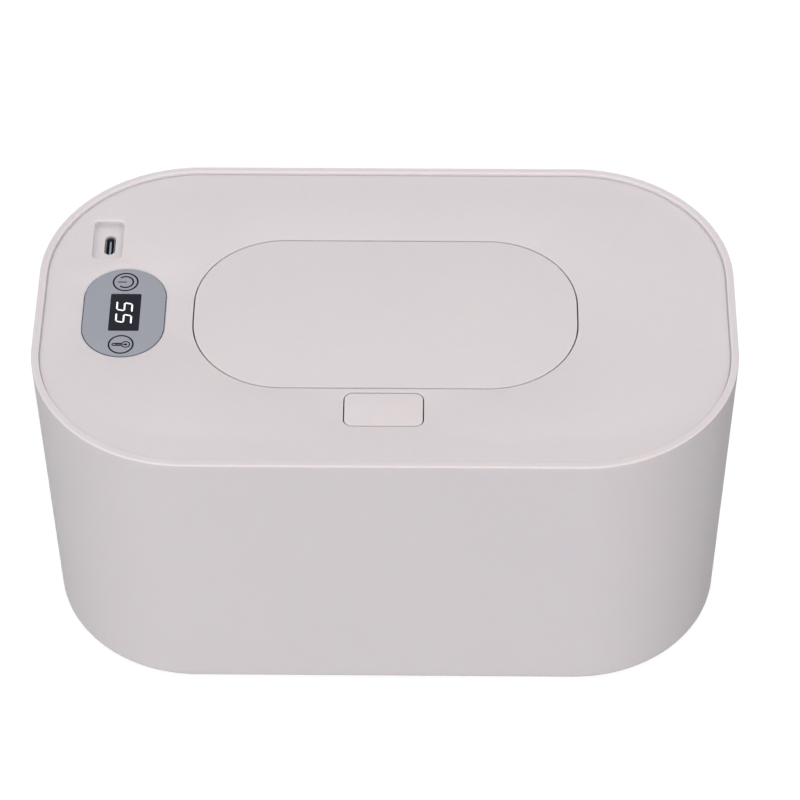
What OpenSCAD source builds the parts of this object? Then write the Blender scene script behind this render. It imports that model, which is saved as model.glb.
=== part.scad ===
// Top-heating wipe warmer: an open box, a drop-in lid that holds the heater and the electronics,
// a sprung oval flap on two gooseneck arms, a rocking latch button and a sprung lift tray.
// Millimetres. Origin at the centre of the footprint, on the floor; +X right, +Y back, +Z up.

/* [Box] */
// Width of the box over its top edge
box_w = 240; // [230:1:250]
// Depth of the box over its top edge
box_d = 144; // [140:1:154]
// Height of the box, without the part of the feet that stands out
box_h = 113.5; // [108:0.5:125]
// Corner radius in plan, at the top edge
corner_r = 54; // [50:0.5:58]
// How far each side leans in from top to bottom
draft = 3; // [1.5:0.1:3.5]
// Wall of the box
wall = 2.3; // [2.1:0.05:2.5]
// Floor of the box
floor_t = 2.5; // [2:0.1:4]
// Rounding of the bottom edge
base_round = 2; // [1:0.1:2.4]
// Rounding of the rim's edges
rim_round = 0.7; // [0.3:0.1:0.9]

/* [Feet] */
// Diameter of a foot
foot_d = 14; // [8:0.5:18]
// Height of a foot
foot_h = 2.2; // [1.8:0.1:2.6]
// How far a foot stands out of the box
foot_proud = 1; // [0.6:0.1:1.2]
// Distance between the feet, left to right
foot_x = 164; // [120:1:170]
// Distance between the feet, front to back
foot_y = 84; // [60:1:90]

/* [Lid] */
// Gap between the lid's edge and the rim
lid_gap = 0.55; // [0.4:0.05:0.8]
// How far the lid lies below the rim
lid_drop = 1.3; // [0.8:0.1:2]
// Thickness of the lid's top plate
plate_t = 2.5; // [2.3:0.1:2.8]
// Height of the flange at the lid's edge
flange_h = 4; // [3.5:0.1:5]
// Width of the flange outside the skirt, and of the box's ribs that it rests on
seat_w = 2.25; // [2:0.05:2.6]
// Clearance between the skirt and those ribs
skirt_gap = 0.5; // [0.3:0.05:0.7]
// Thickness of the skirt
skirt_t = 2; // [1.6:0.1:2.4]
// Depth from the lid's top face to the underside of the lid's base plate
lid_h = 20.5; // [20.2:0.1:22]
// Thickness of the lid's base plate
base_t = 2.3; // [2:0.1:2.5]
// Thickness of the lid's seal
seal_t = 0.8; // [0.6:0.1:1.2]
// Thickness of the wall round the flap's well
well_t = 1.8; // [1.5:0.1:2]

/* [Flap] */
// Width of the flap
flap_w = 131.1; // [126:0.1:134]
// Depth of the flap, front to back
flap_d = 70.4; // [68:0.1:72]
// Corner radius of the flap
flap_r = 30.6; // [26:0.1:33]
// Place of the flap's centre behind the lid's centre
flap_y = 0.55; // [0:0.05:1]
// Gap round the flap
flap_gap = 0.5; // [0.45:0.05:0.7]
// Thickness of the flap
flap_t = 2.5; // [2.3:0.1:2.7]
// Rounding of the flap's top edge
flap_round = 0.5; // [0.2:0.05:0.6]
// Width of the dispensing opening
mouth_w = 100; // [90:1:104]
// Depth of the dispensing opening, front to back
mouth_d = 44; // [36:1:46]
// Thickness of the collar round the dispensing opening
collar_t = 2; // [1.6:0.1:2.4]
// Height of the flap's seal
flap_seal_h = 2.1; // [1.6:0.1:2.4]

/* [Hinge] */
// Distance of the hinge's axis behind the flap's opening
axis_back = 6.5; // [6.4:0.1:7]
// Depth of the hinge's axis below the lid's top face
axis_drop = 3.65; // [3.6:0.05:3.9]
// Radius of the hinge pin
pin_r = 0.8; // [0.6:0.05:0.9]
// Running clearance of the flap's arms on the pin
pin_play = 0.05; // [0.03:0.01:0.08]
// Distance between the middles of the two gooseneck arms
arm_span = 48; // [40:1:56]
// Width of a gooseneck arm
arm_w = 5; // [4:0.5:6]
// Thickness of a gooseneck arm
arm_t = 2.2; // [1.8:0.1:2.4]
// Thickness of an ear that holds the pin
ear_t = 2.2; // [1.8:0.1:2.6]
// How far the flap opens, in degrees
flap_open = 95; // [60:1:98]

/* [Button] */
// Width of the button
button_w = 26.35; // [22:0.05:28]
// Depth of the button, front to back
button_d = 14.85; // [13:0.05:15.5]
// Corner radius of the button
button_r = 2.8; // [2:0.1:4]
// Gap round the button
button_gap = 0.5; // [0.45:0.05:0.7]
// Width of the strip of lid between the button and the flap
web_w = 1.7; // [1.6:0.1:2.2]
// Thickness of the button's top
button_t = 2.2; // [1.8:0.1:2.4]
// Depth of the button's axis below the lid's top face
rocker_drop = 7.5; // [7:0.1:8]
// Radius of a button pin
rocker_pin_r = 0.75; // [0.6:0.05:0.8]
// Width of the latch nose
nose_w = 17.5; // [12:0.5:18]

/* [Control panel] */
// How far the control panel's centre lies inside the middle between the flap's opening and the lid's edge
panel_shift = 1.9; // [0.5:0.05:3]
// Width of the control panel
panel_w = 28.1; // [27:0.1:30]
// Depth of the control panel, front to back
panel_d = 42.1; // [41:0.1:44]
// Thickness of the control panel
panel_t = 1.6; // [1.4:0.1:1.8]
// Gap round the control panel
panel_gap = 0.25; // [0.1:0.05:0.3]
// Width of the display's window
window_w = 10.25; // [9:0.05:12]
// Depth of the display's window, front to back
window_d = 17.6; // [15:0.1:18]
// How far the window's centre lies inside the panel's centre
window_in = 0.25; // [0:0.05:0.5]
// How far the window's centre lies behind the panel's centre
window_back = 0.15; // [0:0.05:0.5]
// Distance of each touch symbol's centre from the panel's centre
touch_y = 15; // [14:0.1:16]

/* [Charging port] */
// How far the port's centre lies outside the control panel's centre
port_shift = 7.35; // [6.5:0.05:8]
// Place of the port's centre behind the lid's centre
port_y = 35.95; // [34:0.05:37]
// Width of the port's pocket
pocket_w = 10.5; // [9.5:0.1:11]
// Depth of the port's pocket, front to back
pocket_d = 19.3; // [17:0.1:20]
// How deep the pocket is sunk
pocket_h = 2.7; // [2.4:0.1:3]
// How far the pocket's centre lies outside the port's centre
pocket_out = 0.5; // [0:0.05:0.8]
// Short side of the receptacle's shell, a standard size
shell_w = 3.26; // [3.26]
// Long side of the receptacle's shell, a standard size
shell_d = 8.94; // [8.94]
// Height of the receptacle
shell_h = 10.5; // [10:0.1:10.6]

/* [Heater] */
// Width of the heater plate
heater_w = 170; // [160:1:180]
// Depth of the heater plate, front to back
heater_d = 90; // [84:1:96]
// Thickness of the heater plate
heater_t = 1; // [0.8:0.1:1.5]
// Thickness of the heating film
film_t = 0.4; // [0.3:0.1:0.6]
// Thickness of the insulation
foam_t = 2; // [1.8:0.1:2.4]

/* [Tray] */
// Depth from the lid's underside to the tray when it is up
tray_drop = 7; // [5:0.5:12]
// Height of the tray's rim
tray_rim = 6; // [4:0.5:8]
// Thickness of the tray
tray_t = 2; // [1.6:0.1:2.5]
// Clearance between the tray and the box's ribs
tray_gap = 0.9; // [0.6:0.1:1.4]
// How far the tray sinks when the box is full
tray_travel = 58; // [40:1:60]
// Distance between the two lift springs
spring_span = 120; // [100:1:124]
// Mean radius of a lift spring
spring_r = 20; // [15:0.5:22]
// Radius of a lift spring's wire
spring_wire = 0.8; // [0.6:0.05:1]
// Turns of a lift spring
spring_turns = 7; // [5:0.5:8]

/* [Hidden] */
$fn = 64;
ROUND_FN = 96;
BOX_COLOUR = [0.86, 0.83, 0.83];
METAL = [0.75, 0.76, 0.78];
SILICONE = [0.93, 0.93, 0.92];
DARK = [0.16, 0.18, 0.22];

// Heights, from the floor up
box_z0 = foot_proud;
rim_z = box_z0 + box_h;
lid_z = rim_z - lid_drop;
plate_z = lid_z - plate_t;
flange_z = lid_z - flange_h;
seat_z = flange_z - seal_t;
base_z = lid_z - lid_h;
base_top = base_z + base_t;
stack_t = foam_t + film_t + heater_t;
film_z = base_z - foam_t - film_t;
heater_z = base_z - stack_t;
rim_under = 0.4;
lid_under = heater_z - rim_under;
tray_top = lid_under - tray_drop;
tray_z = tray_top - tray_t;
floor_z = box_z0 + floor_t;

// Overlap of fused shapes, how far a cut runs past a face, and fits inside the lid
JOIN = 0.5;
OVER = 1;
PRESS = 0.02;
THREAD = 0.05;
FREE = 0.3;

// Plan sizes of the lid
lid_w = box_w - 2 * (wall + lid_gap);
lid_d = box_d - 2 * (wall + lid_gap);
lid_r = corner_r - wall - lid_gap;
skirt_in = seat_w + skirt_gap;

// The flap's opening, the well below it and the dispensing opening
hole_w = flap_w + 2 * flap_gap;
hole_d = flap_d + 2 * flap_gap;
hole_r = flap_r + flap_gap;
hole_front = flap_y - hole_d / 2;
hole_back = flap_y + hole_d / 2;
well_extra = 2;
flap_z = lid_z - flap_t;
mouth_r = mouth_d / 2;
collar_top = lid_z - flap_t - flap_seal_h;

// The control panel, between the flap's opening and the lid's left edge, and the port beside it
panel_x = (lid_w + hole_w) / 4 - panel_shift;
port_x = panel_x + port_shift;
pocket_x = port_x + pocket_out;
window_at = [window_in - panel_x, window_back, 0];

// The hinge: the arms' C clears the lip of the lid behind the flap
axis_y = hole_back + axis_back;
axis_z = lid_z - axis_drop;
lip_r = sqrt(axis_back * axis_back + axis_drop * axis_drop);
lip_gap = 0.45;
arm_in = lip_r + lip_gap;
arm_out = arm_in + arm_t;
hub_wall = 1;
hub_gap = 0.25;
hub_r = pin_r + hub_wall;
ear_r = pin_r + 1.4;
ear_gap = 0.3;
spring_len = 6.2;
pin_len = arm_span + arm_w + 2 * (ear_gap + ear_t);
bay_side = 2;
bay_w = pin_len + 2 * bay_side;
bay_back = axis_y + 4.6;
lip_t = axis_drop - hub_r - hub_gap;

// The button and its rocker
bhole_w = button_w + 2 * button_gap;
bhole_d = button_d + 2 * button_gap;
bhole_r = button_r + button_gap;
bhole_back = hole_front - web_w;
button_y = bhole_back - bhole_d / 2;
land = 0.9;
relief = 0.6;
rocker_boss = rocker_pin_r + 0.95;
rocker_y = hole_front - well_t - 0.2 - rocker_boss;
rocker_z = lid_z - rocker_drop;
cheek_t = 2;
cheek_inset = 1.6;
cheek_x = button_w / 2 - cheek_inset - cheek_t;
lug_t = 2.4;
lug_x = cheek_x + cheek_t + FREE;
nose_top = plate_z - 0.7;
nose_h = 1.8;
nose_tip = hole_front + 0.4;
coil_y = button_y - 3;
post_drop = 12;
post_top = lid_z - post_drop;
peg_r = 1.4;

// The charging port
pocket_z = lid_z - pocket_h;
pocket_r = 2.2;
pocket_floor = 1.2;
shell_sunk = 0.6;
shell_top = pocket_z - shell_sunk;
board_top = shell_top - shell_h;
board_t = 1.6;

/* Plain outlines and shells */

SLICE = 0.01;

// Rounded rectangle with true arcs, inset by a distance on every side
module outline(w, d, r, inset = 0) {
    iw = w - 2 * inset;
    id = d - 2 * inset;
    ir = min(max(0.3, r - inset), iw / 2, id / 2);
    union() {
        if (iw - 2 * ir > SLICE) square([iw - 2 * ir, id], center = true);
        if (id - 2 * ir > SLICE) square([iw, id - 2 * ir], center = true);
        for (sx = [-1, 1], sy = [-1, 1])
            translate([sx * (iw / 2 - ir), sy * (id / 2 - ir)]) circle(r = ir);
    }
}

// Plate of that outline from one height to another
module slab(w, d, r, z0, z1, inset = 0) {
    translate([0, 0, z0]) linear_extrude(height = z1 - z0) outline(w, d, r, inset);
}

// Ring of that outline, between two insets
module ring(w, d, r, z0, z1, outer, inner) {
    translate([0, 0, z0]) linear_extrude(height = z1 - z0) difference() {
        outline(w, d, r, outer);
        outline(w, d, r, inner);
    }
}

// Thin slice of the box at a height; the sides lean in towards the bottom
module box_slice(z, inset) {
    lean = draft * (rim_z - z) / box_h;
    translate([0, 0, z]) linear_extrude(height = SLICE)
        outline(box_w, box_d, corner_r, inset + lean, $fn = ROUND_FN);
}

// Quarter-round: steps of inset and height along a rounded edge
ROUND_STEPS = 3;
function quarter(r, i) = [r * (1 - sin(90 * i / ROUND_STEPS)), r * (1 - cos(90 * i / ROUND_STEPS))];

/* Box */

rib_w = 1.6;
rib_x = 62;
rib_turn = 28;
shelf_t = 1.8;
cup_h = 4;

module box_outer() {
    hull() {
        for (i = [0 : ROUND_STEPS]) {
            q = quarter(base_round, i);
            box_slice(box_z0 + q[1], q[0]);
        }
        for (i = [0 : ROUND_STEPS]) {
            q = quarter(rim_round, i);
            box_slice(rim_z - q[1] - SLICE, q[0]);
        }
    }
}

module box_inner() {
    hull() {
        for (i = [0 : ROUND_STEPS]) {
            q = quarter(base_round, i);
            box_slice(floor_z + q[1], wall + q[0]);
        }
        box_slice(rim_z + 1, wall);
    }
}

// Shelf that the lid's seal rests on, and the ribs that carry it; their inner faces are plumb
module seat_ribs() {
    past_wall = 2 * wall;
    rib_h = seat_z - floor_z + OVER;
    ring(lid_w, lid_d, lid_r, seat_z - shelf_t, seat_z, -past_wall, seat_w);
    intersection() {
        ring(lid_w, lid_d, lid_r, floor_z - OVER, seat_z, -past_wall, seat_w);
        translate([0, 0, seat_z - rib_h / 2]) {
            for (x = [-rib_x, 0, rib_x]) translate([x, 0, 0]) cube([rib_w, box_d, rib_h], center = true);
            for (a = [-rib_turn, 0, rib_turn])
                rotate([0, 0, a]) cube([1.2 * box_w, rib_w, rib_h], center = true);
        }
    }
}

module box_shell() {
    color(BOX_COLOUR) difference() {
        union() {
            difference() {
                box_outer();
                difference() {
                    box_inner();
                    seat_ribs();
                }
            }
            for (sx = [-1, 1]) spring_cup(sx * spring_span / 2, floor_z - JOIN, floor_z + cup_h);
        }
        for (sx = [-1, 1], sy = [-1, 1])
            translate([sx * foot_x / 2, sy * foot_y / 2, 0])
                cylinder(d = foot_d + 2 * foot_gap, h = foot_h);
    }
}

foot_gap = 0.2;
foot_bevel = 0.6;

module rubber_feet() {
    color([0.85, 0.85, 0.84])
        for (sx = [-1, 1], sy = [-1, 1])
            translate([sx * foot_x / 2, sy * foot_y / 2, 0])
                rotate_extrude() polygon([
                    [0, 0], [foot_d / 2 - foot_bevel, 0], [foot_d / 2, foot_bevel],
                    [foot_d / 2, foot_h], [0, foot_h]
                ]);
}

/* Tray and lift springs */

cup_r = spring_r + spring_wire + 2 * FREE;
cup_t = 1.6;

module spring_cup(x, z0, z1) {
    translate([x, 0, z0]) difference() {
        cylinder(r = cup_r + cup_t, h = z1 - z0);
        translate([0, 0, -OVER]) cylinder(r = cup_r, h = z1 - z0 + 2 * OVER);
    }
}

tray_in = seat_w + tray_gap;

module lift_tray() {
    slot_w = 4;
    slot_l = 30;
    slot_pitch = 15;
    slot_y = 38;
    cup_down = 3.5;
    color([0.9, 0.9, 0.9]) {
        difference() {
            slab(lid_w, lid_d, lid_r, tray_z, tray_z + tray_rim, tray_in);
            slab(lid_w, lid_d, lid_r, tray_top, tray_z + tray_rim + OVER, tray_in + tray_t);
            for (i = [-6 : 6], s = [-1, 1])
                translate([i * slot_pitch, s * slot_y, tray_z - OVER])
                    linear_extrude(height = tray_t + 2 * OVER) outline(slot_w, slot_l, slot_w / 2);
        }
        for (sx = [-1, 1]) spring_cup(sx * spring_span / 2, tray_z - cup_down, tray_z + JOIN);
    }
}

// One open coil: an unbroken tube, RINGS sections to a turn, each with SIDES sides
RINGS = 8;
SIDES = 6;

function coil_at(r, rise, turns, i) =
    [r * cos(360 * i / RINGS), r * sin(360 * i / RINGS), rise * i / (turns * RINGS)];

function coil_section(r, wire, rise, turns, i) = [
    for (j = [0 : SIDES - 1])
        [
            (r + wire * cos(360 * j / SIDES)) * cos(360 * i / RINGS),
            (r + wire * cos(360 * j / SIDES)) * sin(360 * i / RINGS),
            rise * i / (turns * RINGS) + wire * sin(360 * j / SIDES)
        ]
];

function tube_faces(n, sides) = concat(
    [[for (j = [0 : sides - 1]) j]],
    [
        for (i = [0 : n - 2], j = [0 : sides - 1], half = [0, 1])
            let (a = i * sides + j, b = i * sides + (j + 1) % sides)
                half == 0 ? [a, a + sides, b] : [b, a + sides, b + sides]
    ],
    [[for (j = [sides - 1 : -1 : 0]) (n - 1) * sides + j]]
);

function coil_gap(r, wire, rise, turns) = min([
    for (i = [0 : RINGS], k = [-1 : 1])
        norm(coil_at(r, rise, turns, i) - coil_at(r, rise, turns, i + RINGS + k))
]) - 2 * wire;

// A leg runs straight on from each end, square to the radius there
function leg_section(section, turn, leg) = [for (p = section) p + leg * [-sin(turn), cos(turn), 0]];

module coil(name, r, wire, height, turns, leg = 0) {
    rise = height - 2 * wire;
    last = round(turns * RINGS);
    body = [for (i = [0 : last]) coil_section(r, wire, rise, turns, i)];
    legs = leg == 0 ? body : concat(
        [leg_section(body[0], 0, -leg)], body, [leg_section(body[last], 360 * turns, leg)]
    );
    echo(str(name, " least gap to itself, mm"), coil_gap(r, wire, rise, turns));
    translate([0, 0, wire])
        polyhedron(points = [for (s = legs) each s], faces = tube_faces(len(legs), SIDES), convexity = 6);
}

module lift_spring(side) {
    color(METAL)
        translate([side * spring_span / 2, 0, floor_z])
            coil("lift spring", spring_r, spring_wire, tray_z - floor_z, spring_turns);
}

module lift_spring_left() { lift_spring(-1); }

module lift_spring_right() { lift_spring(1); }

/* Lid panel: plate, flange, skirt, well, hinge bay, pocket, posts and lugs */

boss_r = 3.6;
boss_edge = 16.15;
boss_x = lid_w / 2 - lid_r - 6;
boss_y = lid_d / 2 - boss_edge;
end_boss_edge = 13.15;
left_boss_edge = 20.15;
left_boss_front = 33.15;
boss_spots = [
    [-boss_x, boss_y], [-boss_x, -boss_y], [boss_x, boss_y], [boss_x, -boss_y],
    [lid_w / 2 - end_boss_edge, 0], [left_boss_edge - lid_w / 2, left_boss_front - lid_d / 2]
];
lid_screw_r = 1.05;
lid_screw_l = 8;
board_to_well = 5.35;
board_right = -hole_w / 2 - well_t - board_to_well;
post_in = 3.3;
post_y = [-21, 38, -18];
post_spots = [
    [board_right - post_in, post_y[0]], [board_right - post_in, post_y[1]],
    [end_boss_edge - lid_w / 2, post_y[2]]
];
post_r = 2.6;
board_screw_r = 0.85;
board_screw_l = 6;
panel_proud = 0.15;
panel_z = lid_z + panel_proud - panel_t;
touch_r = 3.6;
slot_gap = 0.5;

module at(spots) {
    for (p = spots) translate([p[0], p[1], 0]) children();
}

module well_outline(extra) {
    translate([0, flap_y + well_extra / 2]) outline(hole_w, hole_d + well_extra, hole_r, -extra);
    translate([-bay_w / 2 - extra, flap_y]) square([bay_w + 2 * extra, bay_back - flap_y + extra]);
}

module ear(x) {
    translate([x - ear_t / 2, axis_y, axis_z]) rotate([90, 0, 90]) linear_extrude(height = ear_t) {
        circle(r = ear_r);
        translate([-ear_r, 0]) square([2 * ear_r, axis_drop - lip_t + JOIN]);
    }
}

// A lug holds a button pin; it is fused to the well's front wall
module rocker_lug(x) {
    to_wall = hole_front - well_t + JOIN - rocker_y;
    translate([x - lug_t / 2, rocker_y, rocker_z]) rotate([90, 0, 90]) linear_extrude(height = lug_t) {
        circle(r = rocker_boss);
        translate([-rocker_boss, 0]) square([2 * rocker_boss, rocker_drop - plate_t + JOIN]);
        translate([0, -rocker_boss]) square([to_wall, rocker_boss + rocker_drop - plate_t + JOIN]);
    }
}

module touch_and_window_holes() {
    translate([0, 0, plate_z - OVER]) {
        translate(window_at) linear_extrude(height = plate_t + 2 * OVER)
            square([window_w + 2 * slot_gap, window_d + 2 * slot_gap], center = true);
        for (s = [-1, 1]) translate([-panel_x, s * touch_y, 0])
            cylinder(r = touch_r, h = plate_t + 2 * OVER);
    }
}

module lid_panel() {
    flange_lap = 0.5;
    pocket_wall = 1.2;
    inner_z = plate_z + JOIN;
    color(BOX_COLOUR) difference() {
        union() {
            slab(lid_w, lid_d, lid_r, plate_z, lid_z);
            ring(lid_w, lid_d, lid_r, flange_z, inner_z, 0, skirt_in + flange_lap);
            ring(lid_w, lid_d, lid_r, base_top, inner_z, skirt_in, skirt_in + skirt_t);
            translate([0, 0, base_top]) linear_extrude(height = inner_z - base_top) well_outline(well_t);
            translate([-pocket_x, port_y, 0])
                slab(pocket_w, pocket_d, pocket_r, pocket_z - pocket_floor, inner_z, -pocket_wall);
            at(boss_spots) translate([0, 0, base_top]) cylinder(r = boss_r, h = inner_z - base_top);
            at(post_spots) translate([0, 0, board_top]) cylinder(r = post_r, h = inner_z - board_top);
            for (s = [-1, 1]) rocker_lug(s * (lug_x + lug_t / 2));
        }
        // The opening for the flap, with its well and the hinge bay below
        translate([0, flap_y, 0]) slab(hole_w, hole_d, hole_r, plate_z - OVER, lid_z + OVER);
        translate([0, 0, base_top - OVER]) linear_extrude(height = plate_z - base_top + OVER)
            well_outline(0);
        translate([-bay_w / 2, hole_back + OVER, plate_z - OVER])
            cube([bay_w, bay_back - hole_back - OVER, plate_t - lip_t + OVER]);
        // The opening for the button, wider below its land, and the slot for the nose
        translate([0, button_y, 0]) slab(bhole_w, bhole_d, bhole_r, plate_z - OVER, lid_z + OVER);
        translate([0, button_y - relief / 2, 0])
            slab(bhole_w, bhole_d + relief, bhole_r, plate_z - OVER, lid_z - land);
        translate([-nose_w / 2 - slot_gap, hole_front - well_t - OVER, nose_top - nose_h - OVER])
            cube([nose_w + 2 * slot_gap, well_t + 2 * OVER, plate_z - nose_top + nose_h + OVER]);
        // The control panel's recess and the ways through it
        translate([-panel_x, 0, 0])
            slab(panel_w, panel_d, panel_w / 2, panel_z, lid_z + OVER, -panel_gap);
        touch_and_window_holes();
        // The charging port's pocket and slot
        translate([-pocket_x, port_y, 0]) slab(pocket_w, pocket_d, pocket_r, pocket_z, lid_z + OVER);
        translate([-port_x, port_y, 0])
            slab(shell_w, shell_d, shell_w / 2, pocket_z - pocket_floor - OVER, pocket_z + OVER, -0.2);
        at(boss_spots) translate([0, 0, base_top - OVER])
            cylinder(r = lid_screw_r + THREAD, h = lid_screw_l + OVER);
        at(post_spots) translate([0, 0, board_top - OVER])
            cylinder(r = board_screw_r + THREAD, h = board_screw_l);
        for (s = [-1, 1])
            translate([s * (cheek_x - OVER), rocker_y, rocker_z]) rotate([0, s * 90, 0])
                cylinder(r = rocker_pin_r + PRESS, h = lug_x + lug_t - cheek_x + 2 * OVER);
    }
    color(BOX_COLOUR) hinge_ears();
}

// Four ears hold the pin; the right inner one stands off to leave room for the spring
module hinge_ears() {
    past_arm = arm_w / 2 + ear_gap + ear_t / 2;
    difference() {
        for (s = [-1, 1]) {
            ear(s * (arm_span / 2 + past_arm));
            ear(s * (arm_span / 2 - past_arm) - (s > 0 ? spring_len + ear_gap : 0));
        }
        translate([-pin_len / 2 - OVER, axis_y, axis_z]) rotate([0, 90, 0])
            cylinder(r = pin_r + PRESS, h = pin_len + 2 * OVER);
    }
}

/* Lid base: base plate, collar, heater rims */

heater_r = 32;
stack_gap = 0.5;
mouth_gap = 0.6;
heater_screw_end = 15;
heater_screw_side = 11;
heater_screw_x = heater_w / 2 - heater_screw_end;
heater_screw_y = heater_d / 2 - heater_screw_side;
heater_screw_spots = [for (i = [-1, 1], j = [1, -1]) [i * heater_screw_x, j * heater_screw_y]];
heater_screw_r = 1.3;
heater_screw_in = 0.9;
wire_in = 4.8;
wire_y = -8;
wire_hole = [board_right - wire_in, wire_y];
wire_hole_r = 3.5;
head_t = 0.9;
head_r = 2.8;

module lid_base() {
    rim_t = 1.8;
    guide_t = 1.5;
    guide_h = 2.5;
    guide_in = skirt_in + skirt_t + 0.2;
    color([0.88, 0.87, 0.87]) difference() {
        union() {
            slab(lid_w, lid_d, lid_r, base_z, base_top, skirt_in);
            difference() {
                ring(lid_w, lid_d, lid_r, base_top - JOIN, base_top + guide_h, guide_in, guide_in + guide_t);
                at(boss_spots) translate([0, 0, base_top]) cylinder(r = boss_r + FREE, h = guide_h + OVER);
                translate([0, 0, base_top]) linear_extrude(height = guide_h + OVER)
                    well_outline(well_t + FREE);
            }
            ring(heater_w, heater_d, heater_r, lid_under, base_z + JOIN, -stack_gap - rim_t, -stack_gap);
            translate([0, flap_y, 0]) slab(mouth_w, mouth_d, mouth_r, lid_under, collar_top, -collar_t);
            spring_post();
        }
        translate([0, flap_y, 0]) slab(mouth_w, mouth_d, mouth_r, lid_under - OVER, collar_top + OVER);
        at(boss_spots) {
            translate([0, 0, base_z - OVER]) cylinder(r = lid_screw_r + 2 * FREE, h = base_t + 2 * OVER);
            translate([0, 0, base_z - OVER]) cylinder(r = head_r + FREE, h = OVER + head_t + 0.1);
        }
        at(heater_screw_spots) translate([0, 0, base_z - OVER])
            cylinder(r = heater_screw_r + THREAD, h = OVER + heater_screw_in + 0.2);
        translate([wire_hole[0], wire_hole[1], base_z - OVER])
            cylinder(r = wire_hole_r, h = base_t + 2 * OVER);
    }
}

// Post under the button that its spring stands on
module spring_post() {
    peg_h = 2;
    spring_post_r = 3.6;
    translate([0, coil_y, base_top - JOIN]) cylinder(r = spring_post_r, h = post_top - base_top + JOIN);
    translate([0, coil_y, post_top - JOIN]) cylinder(r = peg_r, h = peg_h + JOIN);
}

// Screw with its head down and a cross recess in it
module screw(cap_r, cap_t, r, l) {
    recess_r = 0.55 * cap_r;
    recess_w = 0.22 * cap_r;
    recess_h = 0.55 * cap_t;
    difference() {
        union() {
            cylinder(r = cap_r, h = cap_t);
            cylinder(r = r, h = l);
        }
        for (turn = [0, 90]) rotate([0, 0, turn])
            translate([-recess_r, -recess_w / 2, -OVER]) cube([2 * recess_r, recess_w, OVER + recess_h]);
    }
}

module lid_screws() {
    head_sunk = 0.1;
    color(METAL) at(boss_spots) translate([0, 0, base_z + head_sunk])
        screw(head_r, head_t, lid_screw_r, lid_screw_l);
}

module lid_seal() {
    seal_in = 0.15;
    color(SILICONE) ring(lid_w, lid_d, lid_r, seat_z, flange_z, seal_in, skirt_in - seal_in);
}

/* Heater stack under the base plate */

module stack_layer(z0, z1, shrink) {
    difference() {
        slab(heater_w, heater_d, heater_r, z0, z1, shrink);
        translate([0, flap_y, 0])
            slab(mouth_w, mouth_d, mouth_r, z0 - OVER, z1 + OVER, -collar_t - mouth_gap - shrink);
        at(heater_screw_spots) translate([0, 0, z0 - OVER])
            cylinder(r = heater_screw_r + FREE, h = z1 - z0 + 2 * OVER);
    }
}

sensor_in = 10;
sensor_back = 6;
sensor_at = [sensor_in - heater_screw_x, sensor_back - heater_screw_y];
sensor_r = 1.7;
sensor_h = 1.5;
fuse_at = [sensor_in - heater_screw_x, heater_screw_y];
fuse_w = 10;
fuse_d = 4;
pad_z = film_z + film_t;

module heater_plate() {
    color([0.8, 0.81, 0.82]) stack_layer(heater_z, heater_z + heater_t, 0);
}

module heater_film() {
    film_in = 2;
    color([0.85, 0.55, 0.2]) stack_layer(film_z, pad_z, film_in);
}

module insulation_pad() {
    wire_cut = 9;
    channel = 3;
    fuse_gap = 1;
    foam_in = 1;
    sensor_gap = 1.3;
    cut_h = foam_t + 2 * OVER;
    color([0.3, 0.3, 0.32]) difference() {
        stack_layer(pad_z, base_z, foam_in);
        translate([sensor_at[0], sensor_at[1], pad_z - OVER]) cylinder(r = sensor_r + sensor_gap, h = cut_h);
        translate([fuse_at[0] - fuse_w / 2 - fuse_gap, fuse_at[1] - fuse_d / 2 - fuse_gap, pad_z - OVER])
            cube([fuse_w + 2 * fuse_gap, fuse_d + 2 * fuse_gap, cut_h]);
        translate([wire_hole[0] - wire_cut / 2, wire_hole[1] - wire_cut / 2, pad_z - OVER])
            cube([wire_cut, wire_cut, cut_h]);
        // Channel for the sensor's leads
        translate([wire_hole[0], sensor_at[1], pad_z - OVER])
            cube([sensor_at[0] - wire_hole[0], channel, cut_h]);
        translate([wire_hole[0], sensor_at[1], pad_z - OVER])
            cube([channel, wire_hole[1] - sensor_at[1], cut_h]);
    }
}

module heater_screws() {
    head_h = 0.35;
    color(METAL) at(heater_screw_spots) translate([0, 0, heater_z - head_h])
        screw(2 * heater_screw_r, head_h, heater_screw_r, head_h + stack_t + heater_screw_in);
}

module temperature_sensor() {
    color(DARK) translate([sensor_at[0], sensor_at[1], pad_z]) cylinder(r = sensor_r, h = sensor_h);
}

module thermal_fuse() {
    color([0.75, 0.7, 0.6]) translate([fuse_at[0] - fuse_w / 2, fuse_at[1] - fuse_d / 2, pad_z])
        cube([fuse_w, fuse_d, foam_t - FREE]);
}

/* Board and what stands on it */

board_w = 33;
board_d = 66;
board_r = 2;
board_y = 9.5;
board_mid = [board_right - board_w / 2, board_y];
board_z = board_top - board_t;
window_gap = 0.1;
window_r = 0.4;

module main_board() {
    to_skirt = 1.2;
    color([0.1, 0.42, 0.25]) difference() {
        intersection() {
            translate([board_mid[0], board_mid[1], 0]) slab(board_w, board_d, board_r, board_z, board_top);
            slab(lid_w, lid_d, lid_r, board_z - OVER, board_top + OVER, skirt_in + skirt_t + to_skirt);
        }
        at(post_spots) translate([0, 0, board_z - OVER])
            cylinder(r = board_screw_r + FREE, h = board_t + 2 * OVER);
    }
}

// One part under the board: its place from the board's middle, and its size
module board_part(x, y, size) {
    translate([board_mid[0] + x - size[0] / 2, board_mid[1] + y - size[1] / 2, board_z - size[2]])
        cube(size);
}

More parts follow.
